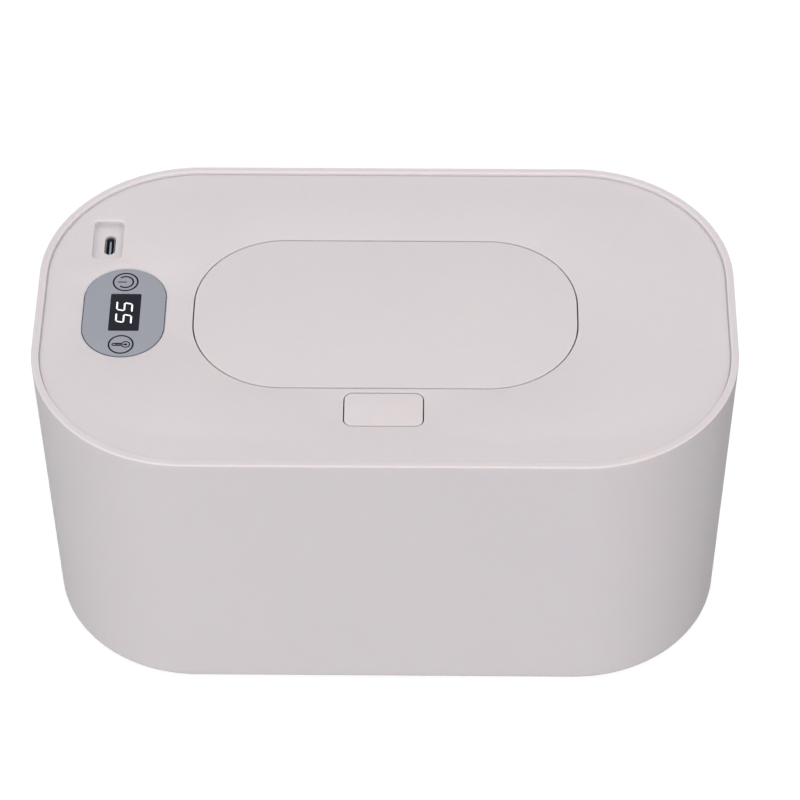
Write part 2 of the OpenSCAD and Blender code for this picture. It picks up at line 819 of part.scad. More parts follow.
// Controller chip with a row of legs on each side
module chip(x, y) {
    body_w = 5.8;
    body_t = 1.2;
    leg_w = 0.28;
    leg_t = 0.3;
    leg_out = 0.6;
    leg_pitch = 0.7;
    legs = 8;
    board_part(x, y, [body_w, body_w, body_t]);
    for (i = [0 : legs - 1])
        board_part(x, y + (i - (legs - 1) / 2) * leg_pitch, [body_w + 2 * leg_out, leg_w, leg_t]);
}

module board_parts() {
    chip_x = -4.8;
    chip_y = -9;
    choke_w = 8;
    choke_t = 2;
    choke_x = 7.7;
    choke_y = -1.5;
    plug_w = 5;
    plug_d = 3;
    plug_t = 1.8;
    plug_x = -3.8;
    plug_y = 6;
    color(DARK) {
        chip(chip_x, chip_y);
        board_part(choke_x, choke_y, [choke_w, choke_w, choke_t]);
        board_part(plug_x, plug_y, [plug_w, plug_d, plug_t]);
    }
}

module board_screws() {
    board_head_r = 2.1;
    board_head_t = 1.2;
    color(METAL) at(post_spots) translate([0, 0, board_z - board_head_t])
        screw(board_head_r, board_head_t, board_screw_r, board_screw_l);
}

module charging_port() {
    tongue_w = 0.7;
    tongue_d = 6.7;
    tongue_sunk = 1;
    shell_t = 0.3;
    back_t = 3.5;
    color(METAL) translate([-port_x, port_y, 0]) {
        difference() {
            slab(shell_w, shell_d, shell_w / 2, board_top, shell_top);
            slab(shell_w, shell_d, shell_w / 2, board_top + back_t, shell_top + OVER, shell_t);
        }
        translate([-tongue_w / 2, -tongue_d / 2, board_top + back_t - JOIN])
            cube([tongue_w, tongue_d, shell_top - board_top - back_t + JOIN - tongue_sunk]);
    }
}

module display_module() {
    color([0.2, 0.2, 0.22]) translate(window_at)
        slab(window_w, window_d, window_r, board_top, panel_z - FREE, FREE);
}

module touch_springs() {
    touch_coil_r = 2.4;
    touch_wire_r = 0.3;
    touch_turns = 5;
    color(METAL) for (s = [-1, 1])
        translate([-panel_x, s * touch_y, board_top])
            coil("touch spring", touch_coil_r, touch_wire_r, panel_z - board_top, touch_turns);
}

module control_panel() {
    color([0.63, 0.64, 0.68]) difference() {
        translate([-panel_x, 0, 0]) slab(panel_w, panel_d, panel_w / 2, panel_z, panel_z + panel_t);
        translate(window_at)
            slab(window_w, window_d, window_r, panel_z - OVER, panel_z + panel_t + OVER, -window_gap);
    }
}

module display_window() {
    color(DARK) translate(window_at)
        slab(window_w, window_d, window_r, panel_z, panel_z + panel_t);
}

/* Leads: tubes swept along a few points */

LEAD_SIDES = 6;

function unit(v) = v / norm(v);
function along(p, i) = unit(p[min(i + 1, len(p) - 1)] - p[max(i - 1, 0)]);
// A side direction that stays square to the tube and never flips on these routes
function side_of(t) = unit(cross(t, [1, 1, 1]));

module lead(p, r) {
    n = len(p);
    polyhedron(
        points = [
            for (i = [0 : n - 1])
                let (t = along(p, i), u = side_of(t), v = cross(t, u))
                    for (j = [0 : LEAD_SIDES - 1])
                        p[i] + r * (cos(360 * j / LEAD_SIDES) * u + sin(360 * j / LEAD_SIDES) * v)
        ],
        faces = [for (f = tube_faces(n, LEAD_SIDES)) [for (k = [len(f) - 1 : -1 : 0]) f[k]]],
        convexity = 4
    );
}

// Each lead runs from the board's underside through the wire hole in the base plate
module heater_leads() {
    lead_r = 0.6;
    lead_gap = 3.2;
    lead_out = 1.5;
    color([0.7, 0.1, 0.1]) for (k = [-1, 1])
        translate([wire_hole[0] - lead_out, wire_hole[1] + k * lead_gap / 2, 0])
            lead([[0, 0, board_z], [0, 0, base_top], [0, 0, base_z], [0, 0, pad_z]], lead_r);
}

module sensor_leads() {
    lead_r = 0.3;
    pitch = 0.65;
    lead_in = 1.2;
    lead_front = 1;
    to_bead = 0.4;
    bead_back = 0.9;
    off_film = 0.1;
    bend = 3;
    dip = 0.6;
    x = wire_hole[0] + lead_in;
    x1 = sensor_at[0] - sensor_r - to_bead;
    y0 = wire_hole[1] - lead_front;
    y = sensor_at[1] + bead_back;
    z = pad_z + lead_r + off_film;
    color([0.9, 0.9, 0.9]) for (k = [0, 1])
        translate([k * pitch, k * pitch, k * pitch]) lead([
            [x, y0, board_z - k * pitch],
            [x, y0, base_top],
            [x, y0 - dip, base_z - dip],
            [x, y0 - bend, z],
            [x, y + bend, z],
            [x + 0.27 * bend, y + 0.3 * bend, z],
            [x + bend, y, z],
            [x1 - k * pitch, y, z]
        ], lead_r);
}

/* Flap: plate, gooseneck arms, seal channel and catch */

catch_w = nose_w - 1.5;
catch_t = 1.6;
catch_y = hole_front + 0.85;
catch_down = 5.5;
hook_h = 1.5;
hook_out = 0.15;
foot_low = 0.5;

// Side view of one arm, in the plane across the pin: hub, spoke, C and foot
module arm_profile() {
    spoke = -75;
    past = 6;
    far = 40;
    difference() {
        union() {
            circle(r = hub_r);
            intersection() {
                difference() {
                    circle(r = arm_out);
                    circle(r = arm_in);
                }
                polygon([
                    [0, 0], far * [cos(spoke - past), sin(spoke - past)],
                    [-far, -far], [-far, far * 0.11], [0, 0]
                ]);
            }
            rotate([0, 0, spoke]) translate([0, -arm_t / 2]) square([arm_in + arm_t / 2, arm_t]);
            translate([-arm_out, -foot_low]) square([arm_t, foot_low + axis_drop - flap_t + JOIN]);
        }
        circle(r = pin_r + pin_play);
    }
}

module flap_plate() {
    land_z = 0.8;
    taper = 1;
    translate([0, flap_y, 0]) hull() {
        for (i = [0 : ROUND_STEPS]) {
            q = quarter(flap_round, i);
            flap_slice(lid_z - q[1] - SLICE, q[0]);
        }
        flap_slice(lid_z - land_z, 0);
        flap_slice(flap_z, taper);
    }
}

module flap_slice(z, inset) {
    translate([0, 0, z]) linear_extrude(height = SLICE)
        outline(flap_w, flap_d, flap_r, inset, $fn = ROUND_FN);
}

module flap() {
    rib_h = 1.2;
    rib_t = 1;
    side_gap = 0.2;
    color(BOX_COLOUR) {
        flap_plate();
        for (s = [-1, 1])
            translate([s * arm_span / 2 - arm_w / 2, axis_y, axis_z]) rotate([90, 0, 90])
                linear_extrude(height = arm_w) arm_profile();
        // Two ribs hold the seal
        translate([0, flap_y, 0]) for (i = [-collar_t - seal_lap - side_gap - rib_t, seal_lap + side_gap])
            ring(mouth_w, mouth_d, mouth_r, flap_z - rib_h, flap_z + JOIN, i, i + rib_t);
        // The catch: a plate with a hook at its foot
        translate([-catch_w / 2, catch_y, flap_z - catch_down])
            cube([catch_w, catch_t, catch_down + JOIN]);
        translate([-catch_w / 2, catch_y - hook_out, flap_z - catch_down])
            cube([catch_w, hook_out + JOIN, hook_h]);
    }
}

seal_lap = 1.4;

module flap_seal() {
    color(SILICONE) translate([0, flap_y, 0])
        ring(mouth_w, mouth_d, mouth_r, collar_top, flap_z, -collar_t - seal_lap, seal_lap);
}

module hinge_pin() {
    color(METAL) translate([-pin_len / 2, axis_y, axis_z]) rotate([0, 90, 0])
        cylinder(r = pin_r, h = pin_len);
}

// Torsion spring: a coil on the pin beside the right arm, with one leg under the lid and one down the arm
module flap_spring() {
    wire_r = 0.3;
    leg = 3;
    color(METAL)
        translate([arm_span / 2 - arm_w / 2 - ear_gap - spring_len, axis_y, axis_z])
            rotate([0, 90, 0]) rotate([0, 0, 180])
                coil("flap spring", hub_r - wire_r - 0.05, wire_r, spring_len, 5.25, leg);
}

/* Button: top, cheeks, nose, pins and spring */

module button_slice(z, inset) {
    translate([0, button_y, z]) linear_extrude(height = SLICE)
        outline(button_w, button_d, button_r, inset, $fn = 32);
}

module rocker_cheek() {
    translate([0, rocker_y, rocker_z]) rotate([90, 0, 90]) linear_extrude(height = cheek_t) {
        circle(r = rocker_boss);
        translate([-rocker_boss, 0]) square([2 * rocker_boss, rocker_drop - button_t + JOIN]);
    }
}

module latch_button() {
    round_r = 0.5;
    land_z = 1;
    taper = 0.4;
    nose_t = 1.6;
    peg_h = 1.5;
    nose_y = bhole_back - button_gap - 2.2;
    under_z = lid_z - button_t;
    color(BOX_COLOUR) difference() {
        union() {
            hull() {
                for (i = [0 : ROUND_STEPS]) {
                    q = quarter(round_r, i);
                    button_slice(lid_z - q[1] - SLICE, q[0]);
                }
                button_slice(lid_z - land_z, 0);
                button_slice(under_z, taper);
            }
            for (x = [-cheek_x - cheek_t, cheek_x]) translate([x, 0, 0]) rocker_cheek();
            // The nose: a wall down from the top, with a shelf that reaches under the web
            translate([-nose_w / 2, nose_y, nose_top - nose_h])
                cube([nose_w, nose_t, under_z + JOIN - nose_top + nose_h]);
            translate([-nose_w / 2, nose_y, nose_top - nose_h]) cube([nose_w, nose_tip - nose_y, nose_h]);
            translate([0, coil_y, under_z - peg_h]) cylinder(r = peg_r, h = peg_h + JOIN);
        }
        for (s = [-1, 1])
            translate([s * (cheek_x - OVER), rocker_y, rocker_z]) rotate([0, s * 90, 0])
                cylinder(r = rocker_pin_r + pin_play, h = cheek_t + 2 * OVER);
    }
}

module button_pins() {
    inside = 0.2;
    color(METAL) for (s = [-1, 1])
        translate([s * (cheek_x + inside), rocker_y, rocker_z]) rotate([0, s * 90, 0])
            cylinder(r = rocker_pin_r, h = lug_x + lug_t - cheek_x - 2 * inside);
}

module button_spring() {
    button_coil_r = 2.3;
    button_wire_r = 0.3;
    button_turns = 5;
    color(METAL) translate([0, coil_y, post_top])
        coil("button spring", button_coil_r, button_wire_r, lid_z - button_t - post_top, button_turns);
}

box_shell();
rubber_feet();
lift_tray();
lift_spring_left();
lift_spring_right();
lid_panel();
lid_base();
lid_screws();
lid_seal();
heater_plate();
heater_film();
insulation_pad();
heater_screws();
temperature_sensor();
thermal_fuse();
main_board();
board_parts();
board_screws();
charging_port();
display_module();
touch_springs();
control_panel();
display_window();
heater_leads();
sensor_leads();
flap();
flap_seal();
hinge_pin();
flap_spring();
latch_button();
button_pins();
button_spring();
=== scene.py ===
"""The looks of a top-heating wipe warmer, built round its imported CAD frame.

Every size in this file is in millimetres until a mesh is made, which is in metres like the frame.
"""

import math

import bmesh
import bpy
import numpy as np
from mathutils import Matrix, Vector
from mathutils.geometry import delaunay_2d_cdt


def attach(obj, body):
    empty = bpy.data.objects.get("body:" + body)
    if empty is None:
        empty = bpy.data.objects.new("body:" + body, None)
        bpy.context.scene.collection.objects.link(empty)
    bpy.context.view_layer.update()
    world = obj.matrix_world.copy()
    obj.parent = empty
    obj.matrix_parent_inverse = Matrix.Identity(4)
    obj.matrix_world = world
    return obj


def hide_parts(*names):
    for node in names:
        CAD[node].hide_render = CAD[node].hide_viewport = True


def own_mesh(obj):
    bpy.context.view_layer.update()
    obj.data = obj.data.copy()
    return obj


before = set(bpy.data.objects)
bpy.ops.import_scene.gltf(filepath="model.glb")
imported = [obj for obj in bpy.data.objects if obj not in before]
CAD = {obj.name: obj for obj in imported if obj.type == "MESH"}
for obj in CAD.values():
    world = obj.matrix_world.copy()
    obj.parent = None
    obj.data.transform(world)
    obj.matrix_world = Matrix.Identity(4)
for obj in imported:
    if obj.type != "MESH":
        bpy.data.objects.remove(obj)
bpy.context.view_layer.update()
MM = 0.001

# ---------------------------------------------------------------- sizes, as in the CAD source
BOX_W, BOX_D, CORNER_R, DRAFT, WALL = 240.0, 144.0, 54.0, 3.0, 2.3
BOX_Z, RIM_Z, FLOOR_Z = 1.0, 114.5, 3.5
LID_W, LID_D, LID_R, LID_Z = 234.3, 138.3, 51.15, 113.2
PLATE_Z, FLANGE_Z, SEAT_Z, BASE_Z, BASE_TOP = 110.7, 109.2, 108.4, 92.7, 95.0
LID_UNDER, HEATER_Z, PAD_Z = 88.9, 89.3, 90.7
TRAY_Z, TRAY_TOP, TRAY_RIM_Z = 79.9, 81.9, 85.9
SEAT_IN, SKIRT_IN, SKIRT_OUT = 2.25, 2.75, 4.75
FLAP_MID = (0.0, 0.55)
FLAP = (131.1, 70.4, 30.6)
HOLE = (132.1, 71.4, 31.1)
MOUTH = (100.0, 44.0, 22.0)
COLLAR_TOP = 108.6
AXIS_Y, AXIS_Z = 42.75, 109.55
LIP_R, ARM_IN, ARM_OUT, HUB_R = 7.455, 7.905, 10.105, 1.8
BAY_X, BAY_BACK, LIP_UNDER = 31.0, 47.35, 111.6
ARM_SPAN, ARM_W, PIN_L, PIN_R = 48.0, 5.0, 58.0, 0.8
BUTTON = (26.35, 14.85, 2.8)
BUTTON_Y = -44.775
ROCKER_Y, ROCKER_Z, ROCKER_PIN_R = -38.85, 105.7, 0.75
PANEL_X, PANEL_Z, PANEL_TOP = -89.7, 111.75, 113.35
PANEL = (28.1, 42.1, 14.05)
WINDOW, WINDOW_MID = (10.25, 17.6, 0.4), (-89.45, 0.15)
PORT_X, PORT_Y, POCKET_Z = -97.05, 35.95, 110.5
POCKET, POCKET_MID = (10.5, 19.3, 2.2), (-97.55, 35.95)
BOARD_TOP, BOARD_Z = 99.4, 97.8
COIL_Y, POST_TOP = -47.775, 101.2
BOSSES = [(-60, 53), (-60, -53), (60, 53), (60, -53), (104, 0), (-97, -36)]
BOARD_POSTS = [(-76.5, -21), (-76.5, 38), (-104, -18)]
HEATER_SCREWS = [(-70, 34), (-70, -34), (70, 34), (70, -34)]


# ---------------------------------------------------------------- outlines and forms
def tidy(loop):
    """The loop without points that lie on the one before them."""
    return [p for i, p in enumerate(loop) if math.dist(p, loop[i - 1]) > 1e-4]


def outline(w, d, r, inset=0.0, mid=(0.0, 0.0), n=16):
    """Rounded rectangle, anticlockwise, inset by a distance on every side."""
    hw, hd = w / 2 - inset, d / 2 - inset
    rr = max(min(r - inset, hw, hd), 0.05)
    loop = []
    for q, (sx, sy) in enumerate(((1, 1), (-1, 1), (-1, -1), (1, -1))):
        for k in range(n + 1):
            a = math.radians(90 * (q + k / n))
            loop.append(
                (mid[0] + sx * (hw - rr) + rr * math.cos(a), mid[1] + sy * (hd - rr) + rr * math.sin(a))
            )
    return tidy(loop)


def circle(r, mid=(0.0, 0.0), n=40):
    return [
        (mid[0] + r * math.cos(2 * math.pi * k / n), mid[1] + r * math.sin(2 * math.pi * k / n))
        for k in range(n)
    ]


def arc(r, start, end, n=12, mid=(0.0, 0.0)):
    """Points from one angle to another, in degrees."""
    angles = [math.radians(start + (end - start) * k / n) for k in range(n + 1)]
    return [(mid[0] + r * math.cos(a), mid[1] + r * math.sin(a)) for a in angles]


def shrink(loop, by):
    """The loop moved inwards, with mitred corners; a negative distance moves it outwards."""
    if not by:
        return loop
    p = np.array(loop, float)
    ahead = np.roll(p, -1, 0) - p
    ahead /= np.linalg.norm(ahead, axis=1)[:, None]
    behind = np.roll(ahead, 1, 0)
    na = np.stack([-ahead[:, 1], ahead[:, 0]], 1)
    nb = np.stack([-behind[:, 1], behind[:, 0]], 1)
    step = (na + nb) / np.maximum(1 + (na * nb).sum(1), 0.2)[:, None]
    return [tuple(q) for q in p + by * step]


def levels(z0, z1, low=0.2, top=0.2, steps=4, hold=0.25):
    """(inset, height) of each ring up a wall whose two edges are rounded."""
    quarter = [math.pi / 2 * k / steps for k in range(steps + 1)]
    up = [(low * (1 - math.sin(a)), z0 + low * (1 - math.cos(a))) for a in quarter] if low else [(0, z0)]
    down = [(top * (1 - math.sin(a)), z1 - top * (1 - math.cos(a))) for a in quarter] if top else [(0, z1)]
    mid = [(0, z0 + low + hold), (0, z1 - top - hold)] if z1 - z0 > low + top + 2.5 * hold else []
    return up + mid + down[::-1]


def inside(points, loop):
    """True for each point that lies within the loop."""
    p, q = np.array(loop), np.roll(np.array(loop), -1, 0)
    x, y = points[:, :1], points[:, 1:2]
    spans = (p[:, 1] > y) != (q[:, 1] > y)
    rise = np.where(q[:, 1] == p[:, 1], 1e-12, q[:, 1] - p[:, 1])
    cross = x < (q[:, 0] - p[:, 0]) * (y - p[:, 1]) / rise + p[:, 0]
    return (spans & cross).sum(1) % 2 == 1


class Form:
    """Points and faces of one piece, gathered in millimetres."""

    def __init__(self):
        self.points, self.faces, self.flat = [], [], []

    def ring(self, loop, z):
        start = len(self.points)
        self.points += [(x, y, z) for x, y in loop]
        return list(range(start, len(self.points)))

    def add(self, face, flat=False):
        self.faces.append(face)
        self.flat.append(flat)

    def strip(self, a, b, flat=False):
        for i in range(len(a)):
            j = (i + 1) % len(a)
            self.add((a[i], a[j], b[j], b[i]), flat)

    def cap(self, outer, *holes):
        """Flat face within a ring, less its holes."""
        loops = [outer, *holes]
        index = [i for loop in loops for i in loop]
        flat = [Vector(self.points[i][:2]) for i in index]
        edges, at = [], 0
        for loop in loops:
            edges += [(at + i, at + (i + 1) % len(loop)) for i in range(len(loop))]
            at += len(loop)
        co, _, tris, origin, _, _ = delaunay_2d_cdt(flat, edges, [], 1, 1e-7)
        mids = np.array([[sum(co[i][k] for i in t) / 3 for k in (0, 1)] for t in tris])
        keep = inside(mids, [self.points[i][:2] for i in outer])
        for hole in holes:
            keep &= ~inside(mids, [self.points[i][:2] for i in hole])
        for tri, wanted in zip(tris, keep):
            if wanted:
                self.add(tuple(index[origin[i][0]] for i in tri), True)

    def wall(self, loop, steps, side=1):
        """Rings at (inset, height), joined; side -1 is the wall of a hole. Returns the two end rings."""
        rings = [self.ring(shrink(loop, side * inset), z) for inset, z in steps]
        for a, b in zip(rings, rings[1:]):
            self.strip(a, b)
        return rings[0], rings[-1]

    def prism(self, outer, holes, z0, z1, low=0.2, top=0.2, steps=4):
        """Closed plate or ring between two heights, its edges rounded."""
        rise = levels(z0, z1, low, top, steps)
        walls = [self.wall(outer, rise)] + [self.wall(h, rise, -1) for h in holes]
        self.cap(*[w[0] for w in walls])
        self.cap(*[w[1] for w in walls])

    def turned(self, profile, mid=(0.0, 0.0), n=40, closed=False):
        """A (radius, height) profile turned round a vertical line; closed joins its last point to its first."""
        rings = [
            self.ring(circle(r, mid, n), z) if r else [self.ring([mid], z)[0]] * n for r, z in profile
        ]
        pairs = list(zip(rings, rings[1:])) + ([(rings[-1], rings[0])] if closed else [])
        for a, b in pairs:
            for i in range(n):
                j = (i + 1) % n
                face = tuple(dict.fromkeys((a[i], a[j], b[j], b[i])))
                if len(face) > 2:
                    self.add(face)

    def moved(self, start, matrix):
        """Everything since that point count, carried by a matrix."""
        self.points[start:] = [tuple(matrix @ Vector(p)) for p in self.points[start:]]

    def across(self, outer, holes, x0, x1, y, z, edge=0.2):
        """A prism whose outline is drawn in Y and Z round a point, and that runs along X."""
        start = len(self.points)
        self.prism(outer, holes, x0, x1, edge, edge, 3)
        self.moved(start, Matrix(((0, 0, 1, 0), (1, 0, 0, y), (0, 1, 0, z), (0, 0, 0, 1))))

    def block(self, low, high, edge=0.2):
        """Rounded-off block between two corners."""
        w, d = high[0] - low[0], high[1] - low[1]
        mid = ((low[0] + high[0]) / 2, (low[1] + high[1]) / 2)
        self.prism(outline(w, d, edge * 1.6, mid=mid, n=3), [], low[2], high[2], edge, edge, 3)


def piece(name, form, material, body, slot, *nodes):
    """A mesh object made from a form, riding on a body and standing for CAD nodes."""
    mesh = bpy.data.meshes.new(name)
    mesh.from_pydata([[c * MM for c in p] for p in form.points], [], form.faces)
    bm = bmesh.new()
    bm.from_mesh(mesh)
    for face, flat in zip(bm.faces, form.flat):
        face.smooth = not flat
    bmesh.ops.remove_doubles(bm, verts=bm.verts, dist=1e-6)
    bmesh.ops.recalc_face_normals(bm, faces=bm.faces)
    bm.to_mesh(mesh)
    bm.free()
    mesh.set_sharp_from_angle(angle=math.radians(38))
    obj = bpy.data.objects.new(name, mesh)
    bpy.context.scene.collection.objects.link(obj)
    mesh.materials.append(material)
    return mount(obj, body, slot, *nodes)


def mount(obj, body, slot, *nodes):
    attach(obj, body)
    if nodes:
        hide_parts(*nodes)
    return obj


# ---------------------------------------------------------------- materials
def srgb(code):
    """Linear colour of an sRGB hex value."""
    parts = [int(code[i : i + 2], 16) / 255 for i in (1, 3, 5)]
    return [c / 12.92 if c <= 0.04045 else ((c + 0.055) / 1.055) ** 2.4 for c in parts] + [1.0]


def node(tree, kind, values=None, links=None, **settings):
    """Adds a node, its settings, its input values and its input links."""
    made = tree.nodes.new(kind)
    for key, value in settings.items():
        setattr(made, key, value)
    for key, value in (values or {}).items():
        made.inputs[key].default_value = value
    for key, source in (links or {}).items():
        tree.links.new(source, made.inputs[key])
    return made


def finish(name, colour, rough, grain=0.4, depth=0.004, shift=0.03, metal=0.0, ior=1.5, stretch=None, **more):
    """Surface with a fine bump and a faint drift of tone, both on Object coordinates.

    grain and depth are the bump's spacing and height in millimetres; shift is how far the tone drifts.
    """
    material = bpy.data.materials.new(name)
    material.use_nodes = True
    tree = material.node_tree
    shader = tree.nodes["Principled BSDF"]
    place = node(tree, "ShaderNodeTexCoord").outputs["Object"]
    if stretch:
        place = node(
            tree, "ShaderNodeMapping", {"Scale": stretch}, {"Vector": place}
        ).outputs["Vector"]
    fine = node(
        tree, "ShaderNodeTexNoise", {"Scale": 1 / (grain * MM), "Detail": 3.0, "Roughness": 0.6}, {"Vector": place}
    )
    broad = node(tree, "ShaderNodeTexNoise", {"Scale": 22.0, "Detail": 2.0}, {"Vector": place})
    tone = node(
        tree,
        "ShaderNodeMapRange",
        {"From Min": 0.3, "From Max": 0.7, "To Min": 1 - shift, "To Max": 1 + shift},
        {"Value": broad.outputs["Fac"]},
    )
    mix = node(
        tree,
        "ShaderNodeVectorMath",
        {0: srgb(colour)[:3]},
        {1: tone.outputs["Result"]},
        operation="MULTIPLY",
    )
    gloss = node(
        tree,
        "ShaderNodeMapRange",
        {"From Min": 0.3, "From Max": 0.7, "To Min": rough - 0.04, "To Max": rough + 0.04},
        {"Value": fine.outputs["Fac"]},
    )
    bump = node(
        tree, "ShaderNodeBump", {"Strength": 1.0, "Distance": depth * MM}, {"Height": fine.outputs["Fac"]}
    )
    tree.links.new(mix.outputs["Vector"], shader.inputs["Base Color"])
    tree.links.new(gloss.outputs["Result"], shader.inputs["Roughness"])
    tree.links.new(bump.outputs["Normal"], shader.inputs["Normal"])
    shader.inputs["Metallic"].default_value = metal
    if not metal:
        shader.inputs["IOR"].default_value = ior
    for key, value in more.items():
        shader.inputs[key.replace("_", " ").title()].default_value = value
    material.diffuse_color = srgb(colour)
    return material


def satin(name, colour):
    """Injection-moulded ABS from a spark-eroded mould: light sinks in about a millimetre, and a little more red."""
    made = finish(name, colour, 0.5, grain=0.35, depth=0.0035, shift=0.006, ior=1.4, subsurface_weight=1.0)
    shader = made.node_tree.nodes["Principled BSDF"]
    shader.inputs["Subsurface Radius"].default_value = (1.0, 0.78, 0.68)
    shader.inputs["Subsurface Scale"].default_value = 1.5 * MM
    return made


# Satin ABS of the housing: soft, faintly warm, with a very fine even grain
SATIN_ABS = satin("satin_abs", "#E2DBDD")
# The housing's ABS on the button, a shade paler: painted light that lifts the button out of the shade at the lid's
# front
BUTTON_ABS_PAINTED_LIGHT = satin("button_abs_painted_light", "#E6DEE0")
# Moulded polypropylene inside: plainer, whiter and a little waxy
PLAIN_PP = finish("plain_polypropylene", "#E4E2E1", 0.40, grain=0.6, depth=0.004, shift=0.012, ior=1.49)
# Smooth polycarbonate touch panel: cool grey with a tight soft gloss
PANEL_PC = finish("grey_polycarbonate", "#9C9EA9", 0.3, grain=1.6, depth=0.0002, shift=0.02, ior=1.5)
# Smoked acrylic over the digits: near black, blue-grey, polished
SMOKED = finish("smoked_acrylic", "#080D1E", 0.14, grain=1.5, depth=0.0002, shift=0.02, ior=1.3)
# Pad-printed ink of the touch symbols: flat slate
INK = finish("printed_ink", "#07080D", 0.7, grain=0.2, depth=0.0005, shift=0.02, ior=1.25)
# Lit segments behind the window
LIT = finish("lit_segment", "#F4F5F6", 0.5, grain=0.5, depth=0.0005, shift=0.0, emission_strength=0.55)
LIT.node_tree.nodes["Principled BSDF"].inputs["Emission Color"].default_value = srgb("#F4F6F8")
# Pressed silicone rubber of the seals and feet: milky, matt, with a dusty grain
SILICONE = finish("milky_silicone", "#E2E1DF", 0.62, grain=0.25, depth=0.006, shift=0.02, ior=1.41)
# Drawn spring wire: grey steel with fine lines along it
SPRING = finish("drawn_spring_steel", "#B4B5B7", 0.30, grain=0.5, depth=0.002, shift=0.04, metal=1.0)
# Zinc-plated screws and pins: bright, slightly blue
ZINC = finish("zinc_plated_steel", "#C3C5C8", 0.26, grain=0.4, depth=0.002, shift=0.03, metal=1.0)
# Rolled aluminium sheet: fine lines along X from the rolls
ALUMINIUM = finish(
    "rolled_aluminium", "#D0D1D2", 0.34, grain=0.35, depth=0.004, shift=0.02, metal=1.0, stretch=(0.04, 1.0, 1.0)
)
# Amber polyimide heating film
POLYIMIDE = finish("amber_polyimide", "#B87327", 0.30, grain=2.0, depth=0.003, shift=0.05, ior=1.7)
# Closed-cell foam: dark, with cells about 0.8 mm across
FOAM = finish("closed_cell_foam", "#46464A", 0.92, grain=0.8, depth=0.15, shift=0.06)
# Glazed ceramic of the thermal cut-out
CERAMIC = finish("cutout_ceramic", "#C4BBA8", 0.45, grain=0.5, depth=0.004, shift=0.03)
# Black epoxy of the sensor's bead and the chip
EPOXY = finish("black_epoxy", "#17171A", 0.38, grain=0.3, depth=0.004, shift=0.05)
# Solder mask over glass-fibre board: deep green and glossy
SOLDER_MASK = finish("green_solder_mask", "#1E5B36", 0.30, grain=0.6, depth=0.003, shift=0.05)
# Tinned copper of pads, pins and tracks
TIN = finish("tinned_copper", "#C9C8C4", 0.32, grain=0.3, depth=0.003, shift=0.04, metal=1.0)
# Stamped steel shell of the socket, darkened and tinted blue-grey: painted shade of the port's inside
SHELL_STEEL_PAINTED_SHADE = finish("shell_steel_painted_shade", "#9A9AA6", 0.5, grain=0.4, depth=0.002, shift=0.03, metal=1.0)
# Slate moulding of the socket's tongue, painted paler so that it keeps a light line in the port's shade: painted light
TONGUE_PAINTED_LIGHT = finish("tongue_painted_light", "#98A0AC", 0.4, grain=0.3, depth=0.002, shift=0.02)
# Black nylon of the display's housing
NYLON = finish("black_nylon", "#1F2023", 0.48, grain=0.3, depth=0.005, shift=0.04)
# Silicone-covered leads
RED_LEAD = finish("red_silicone_lead", "#9C2320", 0.5, grain=0.3, depth=0.004, shift=0.03)
WHITE_LEAD = finish("white_lead", "#E3E3E1", 0.45, grain=0.3, depth=0.003, shift=0.02)


# ---------------------------------------------------------------- box
def lean(z):
    """How far the box's sides lean in at a height."""
    return DRAFT * (RIM_Z - z) / (RIM_Z - BOX_Z)


def box_ring(form, inset, z, plumb=False):
    return form.ring(outline(BOX_W, BOX_D, CORNER_R, inset + (0 if plumb else lean(z)), n=40), z)


def ray(loop, angle):
    """Distance from the middle to a loop, in a direction."""
    far = np.array([math.cos(angle), math.sin(angle)])
    p = np.array(loop)
    q = np.roll(p, -1, 0)
    e = q - p
    cross = e[:, 0] * far[1] - e[:, 1] * far[0]
    cross = np.where(abs(cross) < 1e-9, 1e-9, cross)
    t = (e[:, 0] * p[:, 1] - e[:, 1] * p[:, 0]) / cross
    s = (far[0] * p[:, 1] - far[1] * p[:, 0]) / cross
    return min(ti for ti, si in zip(t, s) if ti > 0 and -1e-6 <= si <= 1 + 1e-6)


